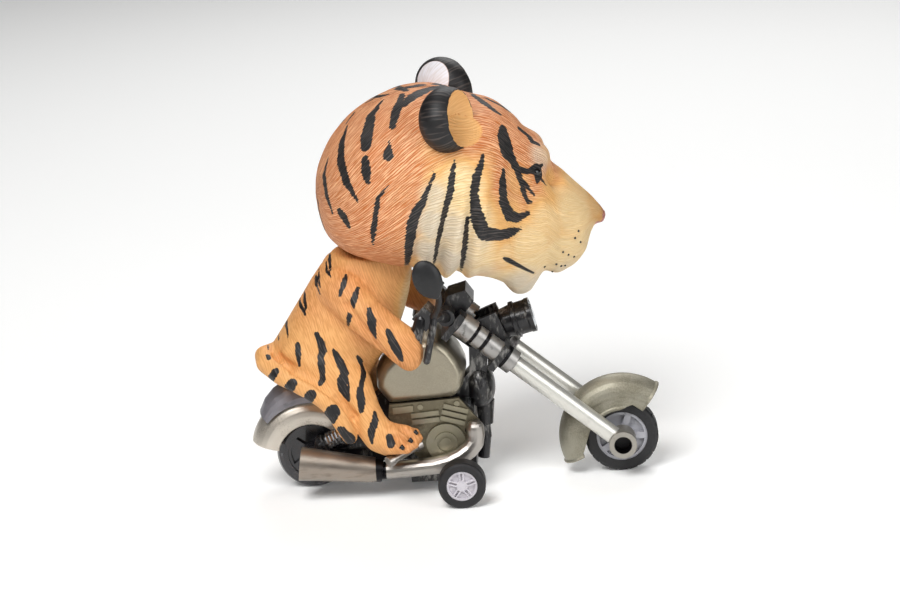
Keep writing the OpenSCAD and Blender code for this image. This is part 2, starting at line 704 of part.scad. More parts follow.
// Handlebar: clamp bar, bends and drop grips in one moulding, with the control perches
grip_top = [-6.2, 17, 46];
grip_low = [-8.3, 18.2, 37.2];
grip_r = 1.5;
perch_at = [-4.6, 15.4, 46.5];
bar_route = [bar_at + [0, bar_half - 1, 0], [-2.4, 12, 45.4], grip_top, grip_low];
module perch(gap = 0) {
    translate(perch_at) rotate([0, 45, 12]) cube([4.6, 5.2, 4.4] + 2 * gap * [1, 1, 1], center = true);
}
module handlebar() {
    color("#232224") union() {
        translate(bar_at) rotate([90, 0, 0]) cylinder(r = bar_r, h = 2 * bar_half, center = true, $fn = 28);
        for (hand = [right, left]) on(hand) {
            bent_rod(bar_route, grip_r);
            perch();
        }
    }
}
lever_route = [[-3.4, 16.6, 47.2], [-2.9, 19.6, 46.6], [-3.8, 20.4, 42.6], [-5.2, 20.4, 36.8]];
lever_r = 0.9;
module lever(hand) {
    color("#2a2a2c") on(hand) difference() {
        bent_rod(lever_route, lever_r, 3, 10);
        perch();
        bent_rod(bar_route, grip_r);
    }
}

// Mirrors: domed shells on bent stalks
mirror_at = [-3.5, 27.2, 59];
mirror_tilt = -18;
module mirror_form() {
    translate(mirror_at) rotate([0, mirror_tilt, 0]) scale([3.5, 1.4, 4.8]) sphere(1, $fn = 22);
}
mirror_stalk = [[-2.9, 19.6, 47.3], [-2.4, 20.3, 48.6], [-1.9, 21.2, 49.8], [-1.5, 22.3, 51],
    [-1.3, 23.5, 52.1],
    [-1.2, 24.6, 53.2], [-1.2, 25.6, 54.3], [-1.4, 26.6, 55.4]];
stalk_r = 0.8;
module side_mirror(hand) {
    color("#3b3c40") on(hand) difference() {
        union() {
            hull() {
                mirror_form();
                translate(mirror_at + [1.8, -0.2, -4.2]) sphere(0.9, $fn = 14);
            }
            ball_chain([for (p = mirror_stalk) [p, stalk_r * [1, 1, 1]]], 10);
        }
        bent_rod(lever_route, lever_r, 3, 10);
    }
}

// Rider, as one chain of sections or balls per moulding
// Torso sections: height, back edge, front edge, half width, squareness
torso_rings = [[27.4, -42, -21, 10, 2.3], [29.4, -45, -19.4, 12, 2.3], [32.4, -46.3, -17.6, 13.4, 2.3],
    [36, -44.6, -15, 14, 2.3], [40, -41.8, -12.4, 13.9, 2.3], [44.5, -38.8, -10.6, 13.4, 2.3],
    [49, -35.8, -9.2, 12.8, 2.2], [53, -33.2, -8.4, 12.2, 2.1], [56.5, -30.6, -8, 11.2, 2],
    [neck_top, neck_x - neck_r, neck_x + neck_r, neck_r, 2]];
module torso_ring(s) {
    translate([(s[1] + s[2]) / 2, 0, s[0]]) linear_extrude(0.02)
        polygon(rounded_section((s[2] - s[1]) / 2, s[3], s[3], s[4]));
}
module torso_form() {
    for (i = [0 : len(torso_rings) - 2]) hull() {
        torso_ring(torso_rings[i]);
        torso_ring(torso_rings[i + 1]);
    }
}
module saddle_room(gap) {
    about_axle(rear_axle_at, 0, 360)
        polygon(crown(rear_fender_r - 1.6, rear_fender_r + seat_t + gap, seat_half + gap));
    about_axle(rear_axle_at, 0, 360) polygon(crown(crown_mid, rear_fender_r + gap, rear_fender_half + gap));
    tank_form(gap);
    side(-3 - gap, 3 + gap)
        polygon([[-40, 10], [6, 10], [6, spine_top], [-16, spine_top], [-22, 21.6], [-40, 21.6]]);
}
module torso() {
    color("#e0a055") difference() {
        torso_form();
        saddle_room(0.1);
        translate([neck_x, 0, neck_top - 8]) cylinder(r = peg_r + 0.01, h = 20);
        translate([neck_x, 0, neck_top - 1]) cylinder(r = peg_r + 1.61, h = 20);
    }
}
arm_balls = [[[-26, 8.6, 52.4], [5.4, 4.6, 5.6]], [[-24, 11.6, 51.6], [5.3, 4.4, 5.6]],
    [[-21.8, 13.6, 49.6], [5, 4.4, 5.2]], [[-19.4, 15, 47.4], [4.7, 4.4, 4.9]],
    [[-17, 16, 45.4], [4.5, 4.3, 4.8]],
    [[-14.6, 16.8, 43.4], [4.4, 4.3, 4.7]], [[-12.4, 17.4, 41.6], [4.4, 4.4, 4.8]],
    [[-10.6, 17.9, 40.2], [4.3, 4.5, 5]], [[-9.4, 18.2, 38.8], [3.6, 4.2, 4.9]]];
// The left arm is lifted about its shoulder, so its paw holds the grip higher up.
shoulder = [-26, 8.6, 52.4];
module rider_arm(hand) {
    $fn = 28;
    color("#dd9450") on(hand) difference() {
        translate(shoulder) rotate([0, hand == left ? -12 : 0, 0]) translate(-shoulder)
            ball_chain(arm_balls);
        torso_form();
        bent_rod(bar_route, grip_r + 0.05);
        perch(0.1);
        tank_form(0.1);
        bent_rod(lever_route, lever_r + 0.1, 3, 10);
    }
}
leg_balls = [[[-32.4, 8.4, 36], [9.4, 5.2, 6]], [[-30.4, 10, 33.6], [8.6, 5.6, 5.8]],
    [[-27.2, 11.4, 30], [7.8, 5.5, 5.2]],
    [[-23.8, 12.8, 26], [5.4, 5.2, 4.8]], [[-21.4, 13.8, 22.4], [4, 4.7, 4.4]],
    [[-19.8, 14.6, 19.2], [4, 4.3, 4.2]], [[-18, 15.2, 16.8], [4.2, 4.2, 4.2]],
    [[-15.4, 15.4, 15.7], [4.6, 4.3, 4.1]], [[-12.6, 15.4, 15.6], [4, 4.4, 3.6]]];
toe_spots = [[-9.6, 12.9, 16], [-9, 15, 15.6], [-9.8, 17.2, 15], [-11.4, 18.6, 14.4]];
module leg_form() {
    ball_chain(leg_balls);
    for (t = toe_spots) hull() {
        translate(t) sphere(1.5, $fn = 14);
        translate(t + [-4, 0, 0.4]) sphere(1.8, $fn = 14);
    }
}
module rider_leg(hand) {
    $fn = 28;
    color("#e3a458") on(hand) difference() {
        leg_form();
        torso_form();
        saddle_room(0.1);
        rod(shock_low, shock_high + 2 * shock_line, 2.75);
        translate(shock_high) side(4.4 - shock_y, 1.75) circle(1.65);
        side(0, plate_y + 0.8) polygon([[-20, 8], [8, 8], [8, 25], [-20, 25]]);
        side(0, crank_y + 0.1) translate(crank_at) circle(5.6);
        rod(peg_out - (peg_in - peg_out), peg_in + (peg_in - peg_out), 1.45);
        bent_rod(pipe_route, pipe_r + 0.1, 2, 18);
        rod(muffler_back, muffler_front, muffler_r[0] + 0.1, muffler_r[1] + 0.3);
        rod([peg_in.x, 0, peg_in.z], peg_in, 1.1);
    }
}
tail_route = [[-43.5, 0, 35], [-45.6, -5, 35.6], [-44.9, -9.5, 35], [-41, -13.5, 33], [-37, -15.8, 31.5],
    [-33.4, -17.2, 29.7], [-29.8, -18.2, 27.1], [-27.7, -18.6, 24], [-26.2, -18.6, 20.8],
    [-25.1, -18.2, 17.9]];
tail_r = [2.4, 2.5, 2.5, 2.5, 2.5, 2.5, 2.5, 2.4, 2.3, 1.9];
module tail() {
    color("#e0a055") difference() {
        ball_chain([for (i = [0 : len(tail_route) - 1]) [tail_route[i], tail_r[i] * [1, 1, 1]]], 14);
        torso_form();
        mirror([0, 1, 0]) leg_form();
        saddle_room(0.1);
        mirror([0, 1, 0]) rod(muffler_back, muffler_front, muffler_r[0] + 0.1, muffler_r[1] + 0.3);
        mirror([0, 1, 0]) rod(shock_low, shock_high + 2 * shock_line, 2.75);
    }
}
module neck_peg() {
    color("#d8d2c4") translate([neck_x, 0, 0]) union() {
        translate([0, 0, neck_top - 8]) cylinder(r = peg_r, h = 17.4);
        translate([0, 0, neck_top - 1]) cylinder(r = peg_r + 1.6, h = 1.4);
    }
}

// Head, in its own frame: X forward from the neck axis
// Sections: X, top, bottom, half width, squareness
head_rings = [[-12.8, 79, 70, 4.6, 2], [-11.6, 84, 65.4, 10.6, 2.1], [-8.4, 89.6, 61.8, 16, 2.2],
    [-3, 94.6, 59, 20.4, 2.3], [4, 98, 57.2, 22.8, 2.4], [12, 99.2, 55.6, 24, 2.6], [19, 99, 54.4, 24.8, 2.8],
    [25, 97.6, 53.6, 24.2, 2.8], [29.6, 95, 51, 21.8, 2.5], [33.6, 90.8, 46.8, 19, 2.4],
    [36.4, 87.4, 47.2, 17.4, 2.4], [40.4, 81.8, 51.6, 15.4, 2.4], [44.4, 77.4, 51.8, 13.6, 2.4],
    [47.2, 75, 53.6, 12.2, 2.4], [49.8, 72.6, 56.4, 10.8, 2.3], [52.2, 70.4, 60, 8.2, 2.2],
    [54.4, 68, 62, 5.2, 2.1], [56.4, 65.4, 62.8, 2.6, 2]];
module head_ring(s) {
    mid = s[2] + 0.46 * (s[1] - s[2]);
    translate([s[0], 0, mid]) rotate([90, 0, 90]) linear_extrude(0.02)
        polygon(rounded_section(s[3], s[1] - mid, mid - s[2], s[4]));
}
ear_at = [18.8, 18.6, 94.6];
ear_tip = 9;
ear_open = 38;
module ear() {
    translate(ear_at) rotate([0, -ear_tip, ear_open]) scale([6.2, 8.8, 7.9]) sphere(1, $fn = 26);
}
module ear_hollow() {
    translate(ear_at) rotate([0, -ear_tip, ear_open])
        translate([4.2, 0, 0.4]) scale([5.6, 7.2, 6.5]) sphere(1, $fn = 24);
}
brow_at = [39.4, 6.6, 80.4];
module head_form() {
    for (i = [0 : len(head_rings) - 2]) hull() {
        head_ring(head_rings[i]);
        head_ring(head_rings[i + 1]);
    }
    for (hand = [right, left]) on(hand) {
        ear();
        translate(brow_at) rotate([0, 40, 24]) scale([4.6, 5.4, 2.8]) sphere(1, $fn = 22);
    }
}
module head() {
    color("#dd8c50") translate([neck_x, 0, 0]) rotate([0, 0, head_turn]) difference() {
        head_form();
        for (hand = [right, left]) on(hand) ear_hollow();
        translate([0, 0, 40]) cylinder(r = neck_r + 0.8, h = neck_top + 0.6 - 40);
        translate([0, 0, 40]) cylinder(r1 = neck_r + 12, r2 = neck_r + 0.8, h = 17.6);
        translate([0, 0, 50]) cylinder(r = socket_r + 0.02, h = socket_top - 50);
    }
}
module neck_socket() {
    color("#c9c3b4") translate([neck_x, 0, 0]) difference() {
        translate([0, 0, neck_top + 0.8]) cylinder(r = socket_r, h = socket_top - neck_top - 0.8);
        translate([0, 0, 50]) cylinder(r = peg_r + running_gap, h = neck_top + 9.6 - 50);
    }
}

chassis();
tank();
rear_fender();
seat();
engine_cover(right);  // right_engine_cover
engine_cover(left);  // left_engine_cover
horn_cover();
exhaust_pipe(right);  // right_exhaust_pipe
exhaust_pipe(left);  // left_exhaust_pipe
muffler(right);  // right_muffler
muffler(left);  // left_muffler
shock(right);  // right_shock
shock(left);  // left_shock
shock_spring(right);  // right_shock_spring
shock_spring(left);  // left_shock_spring
foot_peg(right);  // right_foot_peg
foot_peg(left);  // left_foot_peg
fork_tube(right);  // right_fork_tube
fork_tube(left);  // left_fork_tube
upper_clamp();
lower_clamp();
front_axle();
front_fender();
headlamp();
headlamp_lens();
headlamp_bracket();
handlebar();
lever(right);  // right_lever
lever(left);  // left_lever
side_mirror(right);  // right_mirror
side_mirror(left);  // left_mirror
rear_axle();
motor_case(right);  // right_motor_case
motor_case(left);  // left_motor_case
gear_studs();
case_screws();
torso();
rider_arm(right);  // right_arm
rider_arm(left);  // left_arm
rider_leg(right);  // right_leg
rider_leg(left);  // left_leg
tail();
neck_peg();
head();
neck_socket();
front_tyre();
front_hub();
rear_tyre();
rear_hub();
drive_axle();
drive_pinion();
drive_tyre(right);  // right_drive_tyre
drive_hub(right);  // right_drive_hub
drive_tyre(left);  // left_drive_tyre
drive_hub(left);  // left_drive_hub
idler_gear();
spring_barrel();
mainspring();
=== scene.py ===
"""Dresses the toy chopper and its tiger rider: sculpted mouldings, brushed stripes and painted plastics."""

import json
import math

import bmesh
import bpy
import numpy as np
from mathutils import Matrix, Vector
from mathutils.bvhtree import BVHTree


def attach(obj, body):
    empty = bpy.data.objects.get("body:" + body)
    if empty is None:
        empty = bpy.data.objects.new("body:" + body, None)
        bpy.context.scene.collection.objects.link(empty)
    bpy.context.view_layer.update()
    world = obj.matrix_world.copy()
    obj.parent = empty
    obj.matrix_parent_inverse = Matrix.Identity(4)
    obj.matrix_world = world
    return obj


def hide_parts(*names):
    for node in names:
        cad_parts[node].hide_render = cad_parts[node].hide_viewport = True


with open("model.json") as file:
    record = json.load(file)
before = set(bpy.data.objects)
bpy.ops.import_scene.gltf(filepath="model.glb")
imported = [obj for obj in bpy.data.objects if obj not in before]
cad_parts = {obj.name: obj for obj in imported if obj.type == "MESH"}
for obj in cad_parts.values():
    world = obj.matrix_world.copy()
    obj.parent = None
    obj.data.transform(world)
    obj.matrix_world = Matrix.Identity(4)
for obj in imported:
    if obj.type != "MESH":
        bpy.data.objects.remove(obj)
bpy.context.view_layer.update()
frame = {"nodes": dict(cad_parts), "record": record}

bl_info = {
    "name": "Toy chopper with tiger rider",
    "version": (1, 0, 0),
    "blender": (4, 5, 0),
    "location": "View3D > Sidebar > Toy chopper",
    "description": "Sculpts, paints and stages a pull-back toy chopper and its tiger rider",
    "category": "Object",
}

MM = 0.001
# Turns a place on one side of the toy into its twin on the other
FLIP = np.array((1, -1, 1))
PHOTO_W = 900
PHOTO_H = 600
SENSOR_W = 36.0


def linear(value):
    """Turns an sRGB hex colour into linear RGBA."""
    parts = [int(value[i:i + 2], 16) / 255 for i in (1, 3, 5)]
    return [c / 12.92 if c <= 0.04045 else ((c + 0.055) / 1.055) ** 2.4 for c in parts] + [1.0]


def rgba_of(tone):
    """Linear RGBA of a colour property or of an sRGB hex colour."""
    return linear(tone) if isinstance(tone, str) else list(tone)


def colour(label, about, value):
    """A colour property with an sRGB default."""
    return bpy.props.FloatVectorProperty(
        name=label, description=about, subtype="COLOR", size=4, min=0.0, max=1.0, default=linear(value))


def length(label, about, value):
    """A length property in metres, with its default in millimetres."""
    return bpy.props.FloatProperty(
        name=label, description=about, unit="LENGTH", min=0.0, precision=5, default=value * MM)


def angle(label, about, value):
    """An angle property, with its default in degrees."""
    return bpy.props.FloatProperty(
        name=label, description=about, subtype="ANGLE", default=math.radians(value))


def number(label, about, value):
    """A property without a unit that Blender knows."""
    return bpy.props.FloatProperty(name=label, description=about, min=0.0, default=value)


class ToyRiderSettings(bpy.types.PropertyGroup):
    """Sizes and paints of the tiger."""
    tan: colour("Tan", "Warm paint between the orange coat and the cream", "#EBB672")
    # The fur's ridge and groove paints follow its relief: the peach on the tops is a painted highlight and
    # the deep orange in the grooves is painted shade.
    ridge: colour("Fur ridge", "Peach paint that catches the tops of the combed fur", "#F0B78A")
    groove: colour("Fur groove", "Deep orange wash left in the grooves of the fur", "#BF6A30")
    coat: colour("Body coat", "Orange of the arms and feet", "#E2A066")
    # The body's groove paint is painted shade in the grooves of its fur.
    coat_groove: colour("Body groove", "Wash in the grooves of the body", "#C7844A")
    cream: colour("Cream", "Cream paint of ruff, muzzle and ears", "#F2D7A6")
    pale: colour("Pale", "Grey white of the jaw and the ruff", "#DBCFBB")
    stripe: colour("Stripe", "Brown black of the stripes", "#121011")
    # Paler stripe paint, drawn on the tops of the fur.
    stripe_paler: colour("Worn stripe", "Stripe paint on the tops of the fur", "#4A423E")
    nose: colour("Nose", "Pink of the nose leather", "#B9705F")
    fur_pitch: length("Fur pitch", "Width of one combed stroke", 0.62)
    fur_run: length("Fur run", "Length of one combed stroke", 3.0)
    fur_depth: length("Fur depth", "Depth of the strokes", 0.22)
    tuft: length("Tuft height", "Height of the modelled tufts", 0.2)
    voxel: length("Body voxel", "Cell size that joins limbs and torso into one skin", 0.42)


class ToyBikeSettings(bpy.types.PropertyGroup):
    """Paints of the bike."""
    pewter: colour("Pewter paint", "Champagne metallic paint of the tank", "#999281")
    pewter_dark: colour("Engine paint", "Darker coat of the engine covers", "#948E79")
    plating: colour("Plating", "Vacuum plating of the fork's legs", "#DAD9D2")
    black: colour("Black plastic", "Moulded black of frame and controls", "#1B1A1C")
    silver: colour("Dry-brush", "Silver brushed over the black plastic", "#8C8A86")
    tyre: colour("Tyre", "Soft vinyl of the tyres", "#1A191B")
    hub: colour("Road hub", "Grey of the road wheels' hubs", "#A3A3A9")
    white: colour("Drive hub", "White of the drive wheels' hubs", "#C6C2C8")
    grit: length("Paint grit", "Grain of the metallic paint", 0.35)


class ToyStageSettings(bpy.types.PropertyGroup):
    """Camera, light and floor."""
    azimuth: angle("Azimuth", "Camera turn from the right side towards the front", 2.0)
    elevation: angle("Elevation", "Camera height above the ground", 16.0)
    roll: angle("Roll", "Lift of the picture's right side", 3.6)
    distance: length("Distance", "Depth of the anchor point from the camera", 700.0)
    lens: number("Lens", "Focal length in millimetres", 112.0)
    floor: colour("Floor", "Pale studio floor", "#FBFBFA")
    floor_glow: number("Floor glow", "Light that the floor gives off, so that its far part stays white", 0.1)
    key: number("Key light", "Power of the key light in watts", 8.0)
    fill: number("Fill light", "Power of the fill light and the rim light in watts", 2.8)
    sky_low: number("Sky at the horizon", "Strength of the air's light at the horizon", 0.36)
    sky_high: number("Sky above", "Strength of the air's light overhead", 1.05)


class ToySettings(bpy.types.PropertyGroup):
    """All settings of the toy."""
    rider: bpy.props.PointerProperty(type=ToyRiderSettings)
    bike: bpy.props.PointerProperty(type=ToyBikeSettings)
    stage: bpy.props.PointerProperty(type=ToyStageSettings)


def settings():
    return bpy.context.scene.toy_chopper


# Camera. The anchor is the rear tyre's foot, which sits on a known pixel of the photograph.
ANCHOR = np.array((-36.2, -2.5, 0.0)) * MM
ANCHOR_PX = (314.0, 486.5)


def camera_axes():
    """Right, up and back directions of the camera, with its roll."""
    stage = settings().stage
    ca, sa = math.cos(stage.azimuth), math.sin(stage.azimuth)
    ce, se = math.cos(stage.elevation), math.sin(stage.elevation)
    right = np.array((ca, sa, 0.0))
    back = np.array((sa * ce, -ca * ce, se))
    up = np.cross(back, right)
    cr, sr = math.cos(stage.roll), math.sin(stage.roll)
    return right * cr - up * sr, up * cr + right * sr, back


def pixel_direction(px, py):
    """Direction of a pixel's ray, not normalised: its depth is 1."""
    right, up, back = camera_axes()
    focal = settings().stage.lens / SENSOR_W * PHOTO_W
    return right * ((px - PHOTO_W / 2) / focal) + up * ((PHOTO_H / 2 - py) / focal) - back


def camera_place():
    return ANCHOR - pixel_direction(*ANCHOR_PX) * settings().stage.distance


# Node trees
def node(tree, kind, props=None, inputs=None):
    """Adds one node with its settings, and fills or links its inputs."""
    made = tree.nodes.new(kind)
    for key, value in (props or {}).items():
        setattr(made, key, value)
    for key, value in (inputs or {}).items():
        if isinstance(value, bpy.types.NodeSocket):
            tree.links.new(value, made.inputs[key])
        else:
            made.inputs[key].default_value = value
    return made


# Width in millimetres over which a painted band fades in and out
BAND_BLUR = 0.1


def new_material(name):
    """An empty node material and its tree."""
    made = bpy.data.materials.new(name)
    made.use_nodes = True
    made.node_tree.nodes.clear()
    return made, made.node_tree


def fur_vinyl(name, ridge, groove, light=None, relief=0.75, fray=0.22, share=0.66):
    """Painted PVC with combed fur: painted highlight on the ridges, painted shade in the grooves, stripes
    over both.

    The mesh carries the pattern: fur is the grain's own space, stripe is the distance to the painted edge
    in millimetres, line is the same for crisp lines, cream and pale are the soft paint zones. Relief is the
    strength of the grooves, fray the raggedness of the stripes in millimetres and share that of the loose
    noise in the fur.
    """
    rider = settings().rider
    made, tree = new_material(name)
    fur, stripe, line, cream, pale = (
        node(tree, "ShaderNodeAttribute", {"attribute_name": key})
        for key in ("fur", "stripe", "line", "cream", "pale"))
    rgba = {"data_type": "RGBA"}
    eased = {"interpolation_type": "SMOOTHSTEP"}
    falling = {"To Min": 1.0, "To Max": 0.0}
    grain = node(tree, "ShaderNodeTexNoise", {"noise_dimensions": "3D"},
                 {"Vector": fur.outputs["Vector"], "Scale": 1.3, "Detail": 1.0, "Roughness": 0.5})
    combed = node(tree, "ShaderNodeTexWave",
                  {"wave_type": "BANDS", "bands_direction": "Y", "wave_profile": "SIN"},
                  {"Vector": fur.outputs["Vector"], "Scale": 0.314, "Distortion": 6.5, "Detail": 1.5,
                   "Detail Scale": 1.7, "Detail Roughness": 0.5})
    blend = node(tree, "ShaderNodeMix", {"data_type": "FLOAT"},
                 {0: share, 2: combed.outputs["Fac"], 3: grain.outputs[0]})
    height = node(tree, "ShaderNodeMapRange", eased,
                  {"Value": blend.outputs[0], "From Min": 0.3, "From Max": 0.72})
    # Painted light that follows the relief: groove paint in the hollows as painted shade, ridge paint on the
    # tops as painted highlight.
    coat = node(tree, "ShaderNodeMix", rgba, {0: height.outputs[0], 6: groove, 7: ridge})
    place = node(tree, "ShaderNodeTexCoord")
    mottle = node(tree, "ShaderNodeTexNoise", None,
                  {"Vector": place.outputs["Object"], "Scale": 1 / (9 * MM), "Detail": 2.0})
    shade = node(tree, "ShaderNodeMapRange", None,
                 {"Value": mottle.outputs[0], "From Min": 0.35, "From Max": 0.65, "To Max": 0.16})
    coat = node(tree, "ShaderNodeMix", rgba, {0: shade.outputs[0], 6: coat.outputs[2], 7: groove})
    warm = node(tree, "ShaderNodeMapRange", None, {"Value": cream.outputs["Fac"], "From Max": 0.5})
    soft = node(tree, "ShaderNodeMapRange", None, {"Value": cream.outputs["Fac"], "From Min": 0.5})
    # Each paint zone gets a darker copy in the grooves of the fur, as painted shade.
    for amount, high, painted_shade in (
            (warm.outputs[0], rider.tan, (0.9, 0.84, 0.76, 1.0)),
            (soft.outputs[0], rider.cream, (0.88, 0.8, 0.68, 1.0)),
            (pale.outputs["Fac"], light or rider.pale, (0.86, 0.82, 0.76, 1.0))):
        low = [c * f for c, f in zip(high, painted_shade)]
        paint = node(tree, "ShaderNodeMix", rgba, {0: height.outputs[0], 6: low, 7: list(high)})
        coat = node(tree, "ShaderNodeMix", rgba, {0: amount, 6: coat.outputs[2], 7: paint.outputs[2]})
    ragged = node(tree, "ShaderNodeMapRange", None,
                  {"Value": grain.outputs[0], "From Min": 0.3, "From Max": 0.7,
                   "To Min": -fray, "To Max": fray})
    edge = node(tree, "ShaderNodeMath", {"operation": "ADD"},
                {0: stripe.outputs["Fac"], 1: ragged.outputs[0]})
    brushed = node(tree, "ShaderNodeMapRange", eased,
                   {"Value": edge.outputs[0], "From Min": -0.09, "From Max": 0.09, **falling})
    crisp = node(tree, "ShaderNodeMapRange", eased,
                 {"Value": line.outputs["Fac"], "From Min": -0.1, "From Max": 0.1, **falling})
    mask = node(tree, "ShaderNodeMath", {"operation": "MAXIMUM"},
                {0: brushed.outputs[0], 1: crisp.outputs[0]})
    # Stripe paint is drawn paler on the tops of the fur.
    stripe_tops = node(tree, "ShaderNodeMapRange", None,
                {"Value": height.outputs[0], "From Min": 0.7, "From Max": 1.1})
    ink = node(tree, "ShaderNodeMix", rgba,
               {0: stripe_tops.outputs[0], 6: list(rider.stripe), 7: list(rider.stripe_paler)})
    paint = node(tree, "ShaderNodeMix", rgba, {0: mask.outputs[0], 6: coat.outputs[2], 7: ink.outputs[2]})
    rough = node(tree, "ShaderNodeMapRange", None,
                 {"Value": mask.outputs[0], "To Min": 0.62, "To Max": 0.52})
    bump = node(tree, "ShaderNodeBump", None,
                {"Height": height.outputs[0], "Strength": relief, "Distance": rider.fur_depth})
    shader = node(tree, "ShaderNodeBsdfPrincipled", None,
                  {"Base Color": paint.outputs[2], "Roughness": rough.outputs[0], "IOR": 1.47,
                   "Normal": bump.outputs[0]})
    node(tree, "ShaderNodeOutputMaterial", None, {"Surface": shader.outputs[0]})
    return made


def grained(name, base, accent, grain_mm, amount, rough, metallic=0.0, coat=0.0, relief_mm=0.02,
            stretch=(1, 1, 1), bands=()):
    """A moulded or painted plastic: two close tones mixed by a grain of a real size, which is its relief too.

    Each band paints other tones between two distances from a place: along a direction, or round the Y axis
    if it has none. Tones are linear colours or sRGB hex.
    """
    made, tree = new_material(name)
    rgba = {"data_type": "RGBA"}
    place = node(tree, "ShaderNodeTexCoord")
    turned = node(tree, "ShaderNodeMapping", None, {"Vector": place.outputs["Object"], "Scale": stretch})
    grain = node(tree, "ShaderNodeTexNoise", None,
                 {"Vector": turned.outputs[0], "Scale": 1 / (grain_mm * MM), "Detail": 3.0,
                  "Roughness": 0.6})
    cloud = node(tree, "ShaderNodeTexNoise", None,
                 {"Vector": place.outputs["Object"], "Scale": 1 / (5 * MM), "Detail": 2.0})
    both = node(tree, "ShaderNodeMath", {"operation": "MULTIPLY"},
                {0: grain.outputs[0], 1: cloud.outputs[0]})
    share = node(tree, "ShaderNodeMapRange", {"interpolation_type": "SMOOTHSTEP"},
                 {"Value": both.outputs[0], "From Min": 0.34 - 0.14 * amount, "From Max": 0.44})
    tone = node(tree, "ShaderNodeMix", rgba, {0: share.outputs[0], 6: rgba_of(base), 7: rgba_of(accent)})
    for origin, direction, start, end, band_base, band_accent in bands:
        gap = node(tree, "ShaderNodeVectorMath", {"operation": "SUBTRACT"},
                   {0: place.outputs["Object"], 1: [v * MM for v in origin]})
        if direction:
            reach = node(tree, "ShaderNodeVectorMath", {"operation": "DOT_PRODUCT"},
                         {0: gap.outputs[0], 1: direction})
        else:
            flat = node(tree, "ShaderNodeVectorMath", {"operation": "MULTIPLY"},
                        {0: gap.outputs[0], 1: (1, 0, 1)})
            reach = node(tree, "ShaderNodeVectorMath", {"operation": "LENGTH"}, {0: flat.outputs[0]})
        rise = node(tree, "ShaderNodeMapRange", None,
                    {"Value": reach.outputs["Value"], "From Min": (start - BAND_BLUR) * MM,
                     "From Max": start * MM})
        fall = node(tree, "ShaderNodeMapRange", None,
                    {"Value": reach.outputs["Value"], "From Min": end * MM,
                     "From Max": (end + BAND_BLUR) * MM, "To Min": 1.0, "To Max": 0.0})
        inside = node(tree, "ShaderNodeMath", {"operation": "MULTIPLY"},
                      {0: rise.outputs[0], 1: fall.outputs[0]})
        band = node(tree, "ShaderNodeMix", rgba,
                    {0: share.outputs[0], 6: rgba_of(band_base), 7: rgba_of(band_accent)})
        tone = node(tree, "ShaderNodeMix", rgba,
                    {0: inside.outputs[0], 6: tone.outputs[2], 7: band.outputs[2]})
    uneven = min(1.0, relief_mm / 0.015)
    spread = node(tree, "ShaderNodeMapRange", None,
                  {"Value": cloud.outputs[0], "From Min": 0.3, "From Max": 0.7,
                   "To Min": max(rough - 0.06 * uneven, 0.05), "To Max": rough + 0.08 * uneven})
    bump = node(tree, "ShaderNodeBump", None,
                {"Height": grain.outputs[0], "Strength": 0.5, "Distance": relief_mm * MM})
    shader = node(tree, "ShaderNodeBsdfPrincipled", None,
                  {"Base Color": tone.outputs[2], "Roughness": spread.outputs[0], "Metallic": metallic,
                   "Coat Weight": coat, "Normal": bump.outputs[0]})
    node(tree, "ShaderNodeOutputMaterial", None, {"Surface": shader.outputs[0]})
    return made


# Meshes
def mesh_piece(name, points_mm, faces, body, material, replaced=()):
    """A finished mesh from points in millimetres of the shared frame, riding on its body."""
    mesh = bpy.data.meshes.new(name)
    mesh.from_pydata((np.asarray(points_mm) * MM).tolist(), [], faces)
    mesh.validate()
    mesh.shade_smooth()
    mesh.materials.append(material)
    piece = bpy.data.objects.new(name, mesh)
    bpy.context.scene.collection.objects.link(piece)
    return settle(piece, body, replaced)


def settle(piece, body, replaced=()):
    """Ties a piece to its body and hides the solids that it stands for."""
    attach(piece, body)
    if replaced:
        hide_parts(*replaced)
    return piece


def grid_faces(rows, columns, first=0):
    """Quads of a grid whose columns wrap round, with its two end rows closed by one polygon each."""
    quads = []
    for i in range(rows - 1):
        for j in range(columns):
            k = (j + 1) % columns
            a = first + i * columns
            b = a + columns
            quads.append((a + j, a + k, b + k, b + j))
    quads.append(tuple(first + j for j in reversed(range(columns))))
    quads.append(tuple(first + (rows - 1) * columns + j for j in range(columns)))
    return quads


def spline(rows, count):
    """A smooth curve through the rows of a table, sampled evenly by their first three columns."""
    p = np.array(rows, float)
    t = np.concatenate([[0.0], np.cumsum(np.linalg.norm(np.diff(p[:, :3], axis=0), axis=1))])
    slope = np.gradient(p, t, axis=0)
    s = np.linspace(0.0, t[-1], count)
    i = np.clip(np.searchsorted(t, s, side="right") - 1, 0, len(t) - 2)
    h = (t[i + 1] - t[i])[:, None]
    u = (s - t[i])[:, None] / h
    return ((2 * u ** 3 - 3 * u ** 2 + 1) * p[i] + (u ** 3 - 2 * u ** 2 + u) * h * slope[i]
            + (3 * u ** 2 - 2 * u ** 3) * p[i + 1] + (u ** 3 - u ** 2) * h * slope[i + 1])


def set_attribute(mesh, name, values, kind="FLOAT"):
    """Writes a point attribute of floats or vectors."""
    made = mesh.attributes.new(name, kind, "POINT")
    field = "vector" if kind == "FLOAT_VECTOR" else "value"
    made.data.foreach_set(field, np.ravel(values).astype(np.float32))


def mesh_points(mesh):
    """Points of a mesh, in millimetres."""
    co = np.zeros(len(mesh.vertices) * 3)
    mesh.vertices.foreach_get("co", co)
    return co.reshape(-1, 3) / MM


def move_points(mesh, points_mm):
    """Puts the points of a mesh at places in millimetres."""
    mesh.vertices.foreach_set("co", np.ravel(points_mm * MM))
    mesh.update()


def surface_of(piece):
    """A search tree of a piece's mesh, in metres."""
    mesh = piece.data
    return BVHTree.FromPolygons([v.co[:] for v in mesh.vertices], [p.vertices[:] for p in mesh.polygons])


